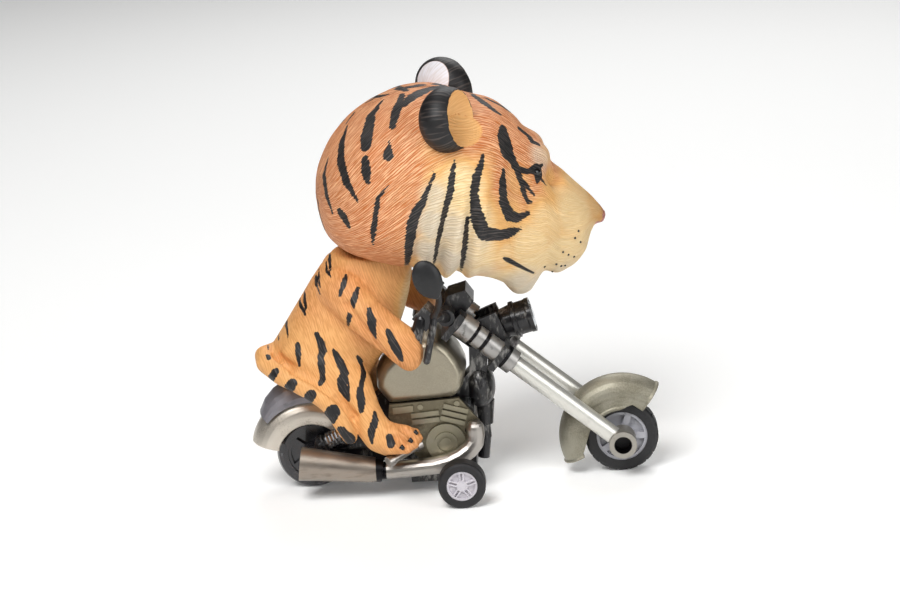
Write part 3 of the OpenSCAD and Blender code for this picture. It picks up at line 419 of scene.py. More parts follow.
def value_noise(points):
    """Smooth noise from 0 to 1 on a lattice of fixed values."""
    base = np.floor(points)
    part = points - base
    part = part * part * (3 - 2 * part)
    total = np.zeros(len(points))
    for corner in np.ndindex(2, 2, 2):
        spun = np.sin((base + corner) @ np.array((12.9898, 78.233, 37.719))) * 43758.5453
        total += (spun - np.floor(spun)) * np.prod(np.where(corner, part, 1 - part), axis=1)
    return total


# Brushwork: a stroke is a line of pixels and its width in pixels at each of them. Points without paint near
# them count as this far from it, in millimetres.
UNPAINTED = 9.0


def cast_stroke(surface, stroke, step_px=1.0, swell=1.25):
    """Where a stroke lands on the surface seen from the camera: points and half widths in millimetres."""
    pixels = np.array([p[:2] for p in stroke], float)
    widths = swell * np.array([p[2] for p in stroke], float)
    gone = np.concatenate([[0.0], np.cumsum(np.linalg.norm(np.diff(pixels, axis=0), axis=1))])
    steps = np.linspace(0.0, gone[-1], max(2, int(gone[-1] / step_px)))
    eye = Vector(camera_place())
    focal = settings().stage.lens / SENSOR_W * PHOTO_W
    found = []
    halves = []
    for s in steps:
        px, py = (np.interp(s, gone, pixels[:, axis]) for axis in (0, 1))
        ray = Vector(pixel_direction(px, py))
        hit, _, _, far = surface.ray_cast(eye, ray.normalized())
        if hit is not None:
            found.append(np.array(hit) / MM)
            halves.append(0.5 * np.interp(s, gone, widths) * far / focal / MM)
    return np.array(found).reshape(-1, 3), np.array(halves)


def edge_distance(points, lines):
    """Distance in millimetres from each point to the edge of the nearest painted line; negative inside."""
    best = np.full(len(points), UNPAINTED)
    for path, half in lines:
        if not len(path):
            continue
        reach = half.max() + 2.5
        close = np.all((points > path.min(0) - reach) & (points < path.max(0) + reach), axis=1)
        for part in np.array_split(np.nonzero(close)[0], max(1, int(close.sum() / 8000))):
            gaps = np.linalg.norm(points[part, None, :] - path[None], axis=2) - half[None]
            best[part] = np.minimum(best[part], gaps.min(axis=1))
    return best


def zone(points, spots):
    """How far each point lies in soft round paint zones: each spot is a place, a radius and a strength."""
    share = np.zeros(len(points))
    for place, radius, strength in spots:
        gap = np.linalg.norm(points - np.array(place, float), axis=1) / radius
        share = np.maximum(share, strength * np.clip(1.6 - 1.6 * gap, 0.0, 1.0))
    return share * share * (3 - 2 * share)


# Head, in its own frame: X forward from the neck's axis, millimetres
HEAD_TURN = math.radians(6.5)
NECK_X = -17.0
# Room for the neck: its top and radius, and the height and slope of the head's underside round it
NECK_TOP = 60.6
NECK_ROOM = 11.2
UNDERSIDE_TOP = 57.6
UNDERSIDE_SLOPE = 17.6 / 11.2
# Sections of the head: X, top, bottom, half width, roundness above and below
HEAD_ROWS = (
    (-13.3, 75.2, 74.2, 0.4, 2.0, 2.0),
    (-12.9, 79.0, 70.0, 4.6, 2.0, 2.0),
    (-11.6, 82.8, 65.4, 10.6, 2.1, 2.1),
    (-8.4, 88.2, 61.8, 16.0, 2.2, 2.3),
    (-3.0, 93.5, 59.0, 20.4, 2.3, 2.5),
    (4.0, 97.3, 57.2, 22.8, 2.4, 2.6),
    (12.0, 99.3, 55.6, 24.0, 2.5, 2.9),
    (19.0, 98.6, 54.4, 24.8, 2.4, 3.2),
    (25.0, 96.2, 53.4, 24.2, 2.4, 3.2),
    (29.6, 95.0, 51.0, 21.8, 2.35, 2.8),
    (33.6, 92.6, 46.8, 19.0, 2.3, 2.3),
    (36.4, 89.8, 47.0, 17.4, 2.2, 2.2),
    (38.4, 86.9, 49.0, 16.4, 2.2, 2.2),
    (40.4, 84.0, 51.6, 15.4, 2.2, 2.4),
    (44.4, 78.0, 51.1, 13.6, 2.3, 2.4),
    (47.2, 75.4, 52.7, 12.2, 2.3, 2.4),
    (49.8, 73.0, 55.6, 10.8, 2.2, 2.3),
    (52.2, 70.6, 59.6, 8.4, 2.1, 2.2),
    (54.4, 68.2, 61.8, 5.4, 2.0, 2.1),
    (56.2, 65.8, 62.4, 3.6, 2.0, 2.0),
    (56.9, 64.6, 63.6, 0.6, 2.0, 2.0),
)
HEAD_WAIST = 0.46
# Sculpted lumps and dents of the face, drawn on the left and mirrored: place, reach, height
FACE_FORMS = (
    ((41.2, 6.6, 82.0), 4.2, 2.2),
    ((36.0, 11.0, 83.0), 5.0, 0.7),
    ((44.0, 8.6, 76.2), 2.6, -2.4),
    ((47.0, 5.0, 75.0), 3.0, 0.3),
    ((48.6, 6.4, 57.6), 4.6, 1.0),
    ((49.0, 7.4, 68.6), 4.0, -0.6),
    ((38.0, 15.5, 63.0), 7.0, 0.9),
    ((54.0, 3.4, 62.0), 1.6, -0.8),
    ((56.0, 2.6, 63.6), 1.0, -0.8),
    ((36.5, 5.0, 47.0), 4.0, 0.4),
)
# Ruff: a leaning band with its middle at the given height, its half width and its upper end
RUFF_LEAN = 0.21
RUFF_AT = (17.2, 70.0)
RUFF_HALF = 9.5
RUFF_TOP = 88.0
# Locks of the ruff: upper end, height, place of one crest and distance between crests
FLUTE_TOP = 86.0
FLUTE_HEIGHT = 1.2
FLUTE_CREST = 12.9
FLUTE_PITCH = 6.0
TUFT_SCALE = 0.42
# Radius that turns the angle round the head into a length across the fur
FUR_GIRTH = 23.0
# Place of each half of the head in the fur's own space, so that the halves differ
FUR_SIDE = 31.0
# Slope of the combed fur, in degrees, by X along the side of the head
FUR_SLOPE = ((-14.0, 40.0), (6.0, 34.0), (18.0, 22.0), (30.0, 8.0), (42.0, -4.0), (58.0, -14.0))


def to_head(points):
    """Shared frame to the head's own frame, in millimetres."""
    c, s = math.cos(HEAD_TURN), math.sin(HEAD_TURN)
    x, y, z = points[:, 0] - NECK_X, points[:, 1], points[:, 2]
    return np.stack([x * c + y * s, y * c - x * s, z], axis=1)


def from_head(points):
    """The head's own frame to the shared frame, in millimetres."""
    c, s = math.cos(HEAD_TURN), math.sin(HEAD_TURN)
    x, y, z = points.T
    return np.stack([x * c - y * s + NECK_X, x * s + y * c, z], axis=1)


def ring(row, turns):
    """One rounded section of the head."""
    x, top, bottom, half, above, below = row
    middle = bottom + HEAD_WAIST * (top - bottom)
    c, s = np.cos(turns), np.sin(turns)
    power = 2 / np.where(s > 0, above, below)
    reach = np.where(s > 0, top - middle, middle - bottom)
    return np.stack([np.full_like(turns, x), half * np.sign(c) * np.abs(c) ** power,
                     middle + reach * np.sign(s) * np.abs(s) ** power], axis=1)


def grid_normals(grid):
    """Outward directions of a wrapped grid of points."""
    along = np.gradient(grid, axis=0)
    round_ = np.roll(grid, -1, axis=1) - np.roll(grid, 1, axis=1)
    out = np.cross(round_, along)
    return out / np.maximum(np.linalg.norm(out, axis=2, keepdims=True), 1e-9)


def head_points(rider, stations=300, columns=326):
    """The sculpted head as a grid of points."""
    rows = spline(HEAD_ROWS, stations)
    turns = (np.arange(columns) + 0.5) * 2 * math.pi / columns
    grid = np.stack([ring(row, turns) for row in rows])
    out = grid_normals(grid)
    rise = np.zeros(grid.shape[:2])
    for place, reach, height in both_sides(FACE_FORMS):
        gap = np.linalg.norm(grid - np.array(place), axis=2)
        rise += height * np.exp(-(gap / reach) ** 2)
    x, y, z = np.moveaxis(grid, 2, 0)
    fur = head_fur(grid, rows, rider)
    lean = x - RUFF_LEAN * (z - RUFF_AT[1])
    ruff = np.clip((RUFF_HALF - np.abs(lean - RUFF_AT[0])) / 4, 0, 1) * np.clip((RUFF_TOP - z) / 9, 0, 1)
    flutes = ruff * np.clip((FLUTE_TOP - z) / 16, 0, 1) * np.clip((np.abs(y) - 6) / 8, 0, 1)
    rise += FLUTE_HEIGHT * flutes * np.cos(2 * math.pi * (lean - FLUTE_CREST) / FLUTE_PITCH)
    rise += (value_noise(fur * TUFT_SCALE) - 0.5).reshape(rise.shape) * rider.tuft / MM
    grid = grid + out * rise[..., None]
    hollow = np.zeros(rise.shape)
    for hand in (1, -1):
        depth = ear_bowl_depth(grid.reshape(-1, 3), out.reshape(-1, 3), hand).reshape(rise.shape)
        grid = grid - out * depth[..., None]
        hollow = np.maximum(hollow, depth)
    away = np.hypot(grid[..., 0], grid[..., 1])
    under = np.where(away < NECK_ROOM, NECK_TOP, UNDERSIDE_TOP - UNDERSIDE_SLOPE * (away - NECK_ROOM))
    grid[..., 2] = np.maximum(grid[..., 2], under)
    cream = np.maximum(ruff, EAR_CREAM * np.clip(hollow * 3, 0, 1)).ravel()
    return grid.reshape(-1, 3), grid_faces(stations, columns), fur, cream


def climb_at(x):
    """Height that the combed strokes have climbed at each X."""
    at = np.array(FUR_SLOPE)
    xs = np.linspace(at[0, 0], at[-1, 0], 200)
    tangents = np.tan(np.radians(np.interp(xs, at[:, 0], at[:, 1])))
    climb = np.concatenate([[0.0], np.cumsum((tangents[1:] + tangents[:-1]) / 2 * np.diff(xs))])
    return np.interp(x, xs, climb)


def head_fur(grid, rows, rider):
    """The fur's own space on the head: along the strokes, across them and the side of the head."""
    x, y, z = np.moveaxis(grid, 2, 0)
    middle = (rows[:, 2] + HEAD_WAIST * (rows[:, 1] - rows[:, 2]))[:, None]
    girth = FUR_GIRTH * np.arctan2(z - middle, np.abs(y))
    steps = np.linalg.norm(np.diff(grid, axis=0), axis=2)
    along = np.concatenate([np.zeros((1, grid.shape[1])), np.cumsum(steps, axis=0)])
    pitch, run = rider.fur_pitch / MM, rider.fur_run / MM
    across = (girth - climb_at(x)) / pitch
    return np.stack([along / run, across, np.sign(y) * FUR_SIDE], axis=2).reshape(-1, 3)


def ear_axes():
    """Directions of the left ear: out of its mouth, across it and up."""
    c, s = math.cos(EAR_OPEN), math.sin(EAR_OPEN)
    mouth = np.array((math.cos(EAR_TIP) * c, math.cos(EAR_TIP) * s, math.sin(EAR_TIP)))
    across = np.array((-s, c, 0.0))
    return np.stack([mouth, across, np.cross(mouth, across)])


def ear_bowl_depth(points, out, hand):
    """How far points inside the ear's hollow have to sink, against their directions, to reach its wall."""
    side = np.array((1, hand, 1))
    axes = ear_axes()
    q = ((points * side - EAR_PLACES[hand]) @ axes.T - BOWL_PLACE) / BOWL_SIZE
    d = (out * side) @ axes.T / BOWL_SIZE
    inside = 1 - np.sum(q * q, axis=1)
    qd = np.sum(q * d, axis=1)
    dd = np.sum(d * d, axis=1)
    depth = (qd + np.sqrt(np.maximum(qd * qd + dd * inside, 0))) / np.maximum(dd, 1e-9)
    return np.where(inside > 0, depth, 0.0)


# Stripes of the head: lines of pixels with their widths
HEAD_STRIPES = (
    ((317.5, 200, 3), (320, 216, 5), (325, 231, 3)),
    ((328, 158, 2), (323.7, 175, 7), (326.5, 195, 6), (332.5, 213, 2)),
    ((347, 126, 2), (341.4, 143, 8), (340.5, 161, 9), (346, 181, 8), (357.5, 201.5, 2)),
    ((383, 99.5, 2), (371, 115, 9), (367, 133, 12), (366, 146, 10)),
    ((364.8, 159, 6), (366, 171, 9), (367.5, 181, 5)),
    ((402, 94.5, 5), (396.5, 110, 9), (392.5, 126, 6)),
    ((445, 85.5, 5), (428, 89, 9), (414, 95.5, 12), (404.5, 104.5, 7)),
    ((389.7, 141, 1), (388.5, 150, 6), (388, 156, 9)),
    ((388, 185, 1), (378.5, 197, 4), (375.5, 214, 5), (373.5, 229, 5), (372.5, 244, 2)),
    ((339.5, 211, 6), (343.7, 217, 8), (349, 227, 4)),
    ((387, 95, 4), (376.5, 97, 6), (367, 102, 4)),
    ((354, 113, 3), (346.5, 123, 3)),
    ((398, 88, 7), (406.5, 90.5, 5)),
    ((408, 87.5, 9), (421, 84.8, 9)),
    ((434, 84.5, 6), (443, 83, 7), (456, 84, 4)),
    ((467, 90, 4), (478, 92, 5), (488, 96, 3)),
    ((432, 170, 1), (434.5, 175, 3), (430, 184, 3), (426, 193, 4), (422, 203, 6), (416.5, 212, 8),
     (412, 224, 9), (410, 240, 8), (408, 256, 6), (406, 272, 3)),
    ((454.5, 160, 2), (452, 176, 5), (450, 193, 6), (445, 210, 6), (441, 227, 6), (437, 246, 5),
     (434, 264, 3)),
    ((467.5, 218, 5), (465.5, 234, 7), (463.5, 252, 6), (461, 272, 2)),
    ((472, 94, 5), (483, 102, 8), (499.5, 114, 4)),
    ((486, 98, 4), (506, 108.5, 7), (519, 118, 3)),
    ((520, 129.5, 6), (528, 135, 7), (532, 141, 7), (539, 144.5, 3)),
    ((503.3, 128, 7), (504.5, 140, 15), (506.5, 150, 15), (511.5, 159, 10), (516, 166, 7)),
    ((516, 168, 6), (521.5, 182, 6), (524.5, 195, 5), (528, 201, 4), (532, 202, 2)),
    ((522.5, 181, 4), (534, 195, 3)),
    ((540.5, 178.5, 3.5), (546.5, 184.8, 1.5)),
    ((503.5, 169, 3), (503, 184, 8), (503.5, 202, 9), (509, 215, 10), (518, 217.5, 8), (529, 212.5, 3)),
    ((483.5, 154, 2), (481, 165, 5), (476, 178, 8), (473.5, 194, 8), (476, 210, 10), (479, 224, 13),
     (485, 234, 12), (501, 235, 10), (511, 232.5, 8), (521, 229, 2)),
)
MOUTH = ((503.6, 258.4, 3), (507.5, 260.2, 5.5), (516, 264.8, 4.5), (525, 269.6, 3.5), (534, 274, 2.5))
# The line of the mouth is pressed in towards a place inside the head
MOUTH_DEPTH = 0.7
MOUTH_MIDDLE = np.array((36.0, 0.0, 60.0))
# Dent in the left cheek, in the frame of the part, that clears the mirror when the head turns
MIRROR_ROOM = np.array((-2.2, 26.2, 62.8))
MIRROR_REACH = 7.0
MIRROR_DENT = 1.1
# Eyeliner: the brush stroke from the brow stripe and the wedge round the eye
EYE_LINES = (
    ((513, 166.5, 6), (521, 170, 7), (527, 171.5, 6), (532, 170.5, 5.5), (537, 168, 6), (542.5, 164.8, 3)),
    ((531, 170.5, 7), (537, 169.5, 13), (538.2, 174, 12), (537.6, 179, 7), (537, 182.5, 3)),
)
# Paint zones given by the pixel at their middle: pixel, radius in millimetres and strength
CREAM_PX = (
    (547, 177, 4.5, 0.5), (566, 195, 8, 0.5), (553, 190, 7, 0.5), (507, 256, 7, 0.7), (592, 204, 7, 0.6),
)
PALE_PX = (
    (541, 157, 5.4, 0.55), (434, 196, 5, 0.65), (431, 225, 7, 0.8), (428, 255, 7, 0.85),
    (452, 230, 7, 0.7), (450, 265, 8, 0.9),
)
# Whisker pits, by pixel
WHISKERS = ((575, 238), (580.5, 242), (578.5, 231), (563, 252), (568.5, 254.7), (574, 256.7), (556.4, 264),
            (561.2, 265.8), (565, 265.3), (545.6, 271.4), (552.4, 271.3))
# Soft paint zones in the head's frame: place, radius, strength; mirrored
CREAM_SPOTS = (
    ((10, 24, 78), 12, 0.1), ((9, 23, 64), 11, 0.15), ((16, 22, 88), 8, 0.3),
    ((20, 25, 60), 15, 1.0), ((20, 25, 70), 13, 1.0), ((22, 24, 52), 13, 1.0), ((20, 24, 80), 9, 0.9),
    ((50, 8, 58), 12, 1.0), ((44, 13, 56), 13, 1.0), ((38, 16, 54), 13, 1.0), ((40, 6, 47), 14, 1.0),
    ((47, 9, 67), 12, 0.85), ((44, 10, 73), 5, 0.6), ((30, 16, 50), 13, 1.0), ((50, 4, 72), 9, 0.7),
    ((40, 14, 66), 11, 0.75), ((36, 16.5, 62), 11, 0.85), ((41, 7, 81), 4.5, 0.6), ((30, 20, 70), 9, 0.5),
    ((34, 17, 78), 7, 0.35),
)
PALE_SPOTS = (
    ((24, 22, 52), 10, 0.8), ((18, 25, 58), 7, 0.55), ((24, 25, 66), 5, 0.5), ((38, 12, 46), 11, 1.0),
    ((34, 16, 50), 9, 0.8), ((46, 11, 50), 8, 0.7), ((42.5, 7, 82.5), 5, 0.4), ((16, 24, 62), 12, 0.6),
)


def mirrored(lines):
    """The same painted lines on both halves of the head or body, but those on the middle only once."""
    twins = [(path * FLIP, half) for path, half in lines
             if len(path) and np.abs(path[:, 1]).min() > half.max() + 0.4]
    return lines + twins


def both_sides(spots):
    """Spots that begin with a place, and their twins on the other side."""
    return [((x, hand * y, z), *rest) for (x, y, z), *rest in spots for hand in (1, -1)]


class TOY_OT_head(bpy.types.Operator):
    """Lofts the head, presses in the mouth and brushes on its stripes"""
    bl_idname = "toy.head"
    bl_label = "Head"

    def execute(self, context):
        rider = settings().rider
        points, faces, fur, cream = head_points(rider)
        material = fur_vinyl("painted_vinyl_head", list(rider.ridge), list(rider.groove))
        piece = mesh_piece("head_skin", from_head(points), faces, "head", material, ("head",))
        surface = surface_of(piece)
        path, half = cast_stroke(surface, MOUTH, 0.5, swell=1.0)
        lips = edge_distance(points, mirrored([(to_head(path), half)]))
        liner = [cast_stroke(surface, stroke, 0.5, swell=1.0) for stroke in EYE_LINES]
        liner = edge_distance(points, mirrored([(to_head(path), half) for path, half in liner]))
        set_attribute(piece.data, "line", np.minimum(lips, liner))
        outward = points - MOUTH_MIDDLE
        outward /= np.linalg.norm(outward, axis=1, keepdims=True)
        points = points - outward * (MOUTH_DEPTH * np.clip(0.5 - lips, 0, 1))[:, None]
        placed = from_head(points)
        away = np.linalg.norm(placed - MIRROR_ROOM, axis=1) / MIRROR_REACH
        placed[:, 1] -= MIRROR_DENT * np.clip(1 - away ** 2, 0, 1) ** 2
        move_points(piece.data, placed)
        lines = [cast_stroke(surface, stroke) for stroke in HEAD_STRIPES]
        lines = mirrored([(to_head(path), half) for path, half in lines])
        set_attribute(piece.data, "stripe", edge_distance(points, lines))
        set_attribute(piece.data, "fur", fur, "FLOAT_VECTOR")
        warm, light = (tuple((head_hit(surface, px, py)[0], *rest) for px, py, *rest in zones)
                       for zones in (CREAM_PX, PALE_PX))
        cream = np.maximum(cream, zone(points, both_sides(CREAM_SPOTS + warm)))
        set_attribute(piece.data, "cream", cream)
        set_attribute(piece.data, "pale", zone(points, both_sides(PALE_SPOTS + light)))
        return {"FINISHED"}


# Ears: balls with a hollow that opens outward and forward. Sizes are depth, width and height.
EAR_PLACES = {-1: np.array((18.3, 18.6, 94.6)), 1: np.array((21.0, 18.6, 94.6))}
EAR_SIZE = np.array((6.2, 8.8, 7.9))
EAR_OPEN = math.radians(32)
EAR_TIP = math.radians(9)
BOWL_PLACE = np.array((4.2, -0.6, -0.1))
BOWL_SIZE = np.array((5.6, 7.5, 6.8))
# How far the hollow's paint goes from tan to cream, and where the black back begins: 1 is the ear's mouth
EAR_CREAM = 0.62
EAR_BLACK = 0.74
# White patch on the back of the ear: its direction and radius
EAR_SPOT = (np.array((-0.84, -0.2, 0.5)), 5.4)


def ball_grid(rows, columns):
    """Points of a unit ball, row by row from its top."""
    lat = (np.arange(rows) + 0.5) / rows * math.pi
    lon = np.arange(columns) / columns * 2 * math.pi
    return np.stack([np.outer(np.sin(lat), np.cos(lon)), np.outer(np.sin(lat), np.sin(lon)),
                     np.outer(np.cos(lat), np.ones(columns))], axis=2).reshape(-1, 3)


class TOY_OT_ears(bpy.types.Operator):
    """Shapes the two cupped ears with black backs and a pale spot"""
    bl_idname = "toy.ears"
    bl_label = "Ears"

    def execute(self, context):
        rider = settings().rider
        material = fur_vinyl("painted_vinyl_ear", list(rider.ridge), list(rider.groove), linear("#E2E0E6"),
                             relief=0.2, share=0.85)
        rows, columns = 110, 150
        ball = ball_grid(rows, columns)[:, (2, 0, 1)]
        facing = ball[:, 0]
        local = ball * EAR_SIZE
        q = (local - BOWL_PLACE) / BOWL_SIZE
        wall = BOWL_PLACE[0] - BOWL_SIZE[0] * np.sqrt(np.maximum(1 - q[:, 1] ** 2 - q[:, 2] ** 2, 0))
        inside = np.sum(q * q, axis=1) < 1
        local[:, 0] = np.where(inside, wall, local[:, 0])
        shape = local @ ear_axes()
        black = np.where(inside, 2.0, 8.0 * (facing - EAR_BLACK))
        spot = np.linalg.norm((ball - EAR_SPOT[0]) * EAR_SIZE, axis=1)
        for hand, name in ((-1, "right_ear"), (1, "left_ear")):
            points = (EAR_PLACES[hand] + shape) * np.array((1, hand, 1))
            faces = grid_faces(rows, columns)
            if hand == 1:
                faces = [f[::-1] for f in faces]
            piece = mesh_piece(name, from_head(points), faces, "head", material)
            set_attribute(piece.data, "stripe", np.full(len(points), UNPAINTED))
            set_attribute(piece.data, "line", np.maximum(black, EAR_SPOT[1] - spot))
            spoke = 5 * np.arctan2(local[:, 2], local[:, 1])
            fur = np.stack([np.hypot(local[:, 1], local[:, 2]) / (rider.fur_run / MM),
                            spoke / (rider.fur_pitch / MM), 0 * spoke], axis=1)
            set_attribute(piece.data, "fur", fur, "FLOAT_VECTOR")
            set_attribute(piece.data, "cream", EAR_CREAM * np.clip((facing - 0.3) * 6, 0, 1))
            set_attribute(piece.data, "pale", np.clip((EAR_SPOT[1] + 0.2 - spot) * 3, 0, 1))
        return {"FINISHED"}


# Body: the limbs' solids joined into one skin, then painted
BODY_NODES = ("torso", "right_arm", "left_arm", "right_leg", "left_leg", "tail")
BODY_STRIPES = (
    ((330, 249, 3), (329.5, 258, 5), (330.5, 270, 3)),
    ((326, 262, 2), (327, 271, 4), (331, 277, 2)),
    ((319, 269, 2), (318.5, 278, 4), (320, 287, 2)),
    ((315.5, 276, 3), (316.5, 284, 5), (320, 294, 2)),
    ((304.5, 290, 3), (304.5, 299, 5), (306, 309, 3)),
    ((299, 296, 3), (300, 304, 5), (305, 314.5, 3)),
    ((289, 309, 3), (286, 321, 6), (288, 337, 2)),
    ((277.5, 329, 4), (279, 339, 3)),
    ((268.5, 346, 3), (268, 349, 3)),
    ((268.5, 355.5, 5), (268.5, 358.5, 5)),
    ((297.7, 345, 6), (298.5, 355, 6), (299, 366, 3)),
    ((316.6, 334, 5), (321, 343, 8), (323, 351, 8), (320.5, 358, 6), (322, 369, 7), (322.5, 380, 6),
     (319.5, 384.5, 5), (314.5, 382.5, 3)),
    ((333.5, 349.5, 3), (340, 362, 9), (345, 374, 8), (341, 380, 8), (343, 389, 10), (348.5, 400, 4)),
    ((346, 375, 4), (349.5, 390, 2)),
    ((357.5, 356, 3), (362, 366, 7), (364, 371, 7), (362, 382, 5), (360, 393, 8), (361.5, 403, 8),
     (361, 411, 5)),
    ((374.5, 413, 4), (375.5, 421, 7), (371, 432, 8), (372, 443, 3)),
    ((389.6, 437, 7), (391, 444, 8)),
    ((346, 274.5, 3), (343.3, 285, 6), (339.5, 296, 3)),
    ((358, 288, 4), (353.8, 300, 7), (349.5, 313, 7), (348, 326, 3)),
    ((369, 309, 4), (371.5, 321, 9), (372.5, 331, 8), (376, 344.5, 2)),
    ((388, 331, 5), (393, 342.5, 9), (397, 351, 9), (401.5, 360, 5)),
)
TAIL_RINGS = ((273, 375, 9), (290, 387, 11), (309, 398, 11), (331, 415, 15))
TAIL_TIP = ((341, 430, 9), (350, 441, 13))
# Creases where the tail lies on the leg, the arm on the chest and the toes on each other
CREASES = (
    ((277, 357, 1), (294, 371, 1), (316, 382.5, 1), (337, 398, 1), (354, 417, 1)),
    ((346, 305, 1), (357, 321, 1), (370, 339, 1), (384, 354, 1)),
    ((413.5, 437, 1), (404, 429, 1)),
    ((407, 445, 1), (398, 437, 1)),
)
CREASE_DEPTH = 1.2
CREASE_REACH = 1.0
# Soft paint zones: place, radius, strength. Arms and feet are orange, the chest is cream and the rest is a
# little towards tan.
ORANGE_SPOTS = (
    ((-24, 12, 52), 10, 1.0), ((-17, 16, 45), 10, 1.0), ((-10, 18, 39), 10, 1.0), ((-10, 15, 15), 11, 1.0),
    ((-32, 6, 52), 14, 0.7),
)
CHEST_SPOT = ((-9, 0, 48), 13, 0.95)
BODY_TAN = 0.26
# The body's fur: how it leans with height, how far it sways and how often
FUR_LEAN = 0.45
FUR_SWAY = 2.4
SWAY_SCALE = 0.13


def joined_copy(name, nodes):
    """One mesh object with merged copies of CAD nodes."""
    parts = []
    faces = []
    start = 0
    for n in nodes:
        mesh = frame["nodes"][n].data
        parts.append(mesh_points(mesh))
        faces += [tuple(start + v for v in p.vertices) for p in mesh.polygons]
        start += len(mesh.vertices)
    mesh = bpy.data.meshes.new(name)
    mesh.from_pydata((np.concatenate(parts) * MM).tolist(), [], faces)
    piece = bpy.data.objects.new(name, mesh)
    bpy.context.scene.collection.objects.link(piece)
    return piece


def repaint(piece, material):
    """Gives a piece one material in place of its own."""
    piece.data.materials.clear()
    piece.data.materials.append(material)


def weld_and_smooth(piece, voxel, rounds):
    """Melts the overlapping copies into one closed skin and rounds off its facets."""
    weld = piece.modifiers.new("weld", "WELD")
    weld.merge_threshold = 0.01 * MM
    melt = piece.modifiers.new("melt", "REMESH")
    melt.mode = "VOXEL"
    melt.voxel_size = voxel
    melt.use_smooth_shade = True
    ease = piece.modifiers.new("ease", "SMOOTH")
    ease.factor = 0.5
    ease.iterations = rounds
    plain = bpy.data.meshes.new_from_object(piece.evaluated_get(bpy.context.evaluated_depsgraph_get()))
    piece.modifiers.clear()
    piece.data = plain
    plain.name = piece.name
    plain.shade_smooth()


class TOY_OT_body(bpy.types.Operator):
    """Joins torso, limbs and tail into one skin and brushes on its stripes"""
    bl_idname = "toy.body"
    bl_label = "Body"

    def execute(self, context):
        rider = settings().rider
        material = fur_vinyl("painted_vinyl_body", list(rider.coat), list(rider.coat_groove), relief=0.3,
                             fray=0.14, share=0.8)
        piece = joined_copy("body_skin", BODY_NODES)
        weld_and_smooth(piece, rider.voxel, 6)
        repaint(piece, material)
        settle(piece, "bike", BODY_NODES)
        points = mesh_points(piece.data)
        surface = surface_of(piece)
        lines = mirrored([cast_stroke(surface, stroke, swell=1.05) for stroke in BODY_STRIPES])
        lines += [cast_stroke(surface, TAIL_TIP, swell=1.0)]
        for x, y, width in TAIL_RINGS:
            lines.append(cast_stroke(surface, ((x - 2, y + 3, width), (x + 2, y - 3, width)), swell=1.0))
        out = np.zeros(points.size)
        piece.data.vertices.foreach_get("normal", out)
        creases = edge_distance(points, [cast_stroke(surface, line, swell=1.0) for line in CREASES])
        sink = CREASE_DEPTH * np.exp(-(creases / CREASE_REACH) ** 2)
        points = points - out.reshape(-1, 3) * sink[:, None]
        move_points(piece.data, points)
        set_attribute(piece.data, "stripe", edge_distance(points, lines))
        pitch, run = rider.fur_pitch / MM, rider.fur_run / MM
        x, y, z = points.T
        sway = FUR_SWAY * value_noise(points * SWAY_SCALE)
        fur = np.stack([z / run, (x + FUR_LEAN * z + sway) / pitch, y / (4 * pitch)], axis=1)
        set_attribute(piece.data, "fur", fur, "FLOAT_VECTOR")
        orange = zone(points, both_sides(ORANGE_SPOTS))
        set_attribute(piece.data, "cream", np.maximum(BODY_TAN * (1 - orange), zone(points, (CHEST_SPOT,))))
        set_attribute(piece.data, "pale", np.zeros(len(points)))
        set_attribute(piece.data, "line", np.full(len(points), UNPAINTED))
        return {"FINISHED"}


# Smooth shells: CAD node, paint, slot, voxel in millimetres and rounds of smoothing
SHELLS = (
    ("tank", "pewter", "pewter", 0.3, 26),
    ("front_fender", "dull", "pewter", 0.18, 6),
    ("rear_fender", "fender", "pewter", 0.2, 8),
    ("right_mirror", "mirror", "grey_plastic", 0.16, 4),
    ("left_mirror", "mirror", "grey_plastic", 0.16, 4),
)
# The tank's painted skin is drawn down onto the engine below this height
TANK_EDGE = 28.0
TANK_DROP = 0.9


def fill_hollows(piece):
    """Wraps a piece in its convex skin."""
    form = bmesh.new()
    form.from_mesh(piece.data)
    wrapped = bmesh.ops.convex_hull(form, input=form.verts)
    spare = wrapped["geom_interior"] + wrapped["geom_unused"]
    inner = [e for e in spare if isinstance(e, bmesh.types.BMVert)]
    bmesh.ops.delete(form, geom=inner, context="VERTS")
    kept = set(wrapped["geom"])
    loose = [f for f in form.faces if f not in kept]
    bmesh.ops.delete(form, geom=loose, context="FACES_ONLY")
    form.to_mesh(piece.data)
    form.free()


class TOY_OT_smooth_shells(bpy.types.Operator):
    """Rounds off the tank, the fenders and the mirrors, whose solids are faceted"""
    bl_idname = "toy.smooth_shells"
    bl_label = "Tank, fenders and mirrors"

    def execute(self, context):
        paints = bike_paints()
        for cad, paint, slot, voxel, rounds in SHELLS:
            piece = joined_copy(cad + "_shell", (cad,))
            if cad == "tank":
                fill_hollows(piece)
            weld_and_smooth(piece, voxel * MM, rounds)
            if cad == "tank":
                points = mesh_points(piece.data)
                points[:, 2] -= TANK_DROP * np.clip((TANK_EDGE - points[:, 2]) / 4, 0, 1)
                move_points(piece.data, points)
            repaint(piece, paints[paint])
            settle(piece, "bike", (cad,))
        return {"FINISHED"}


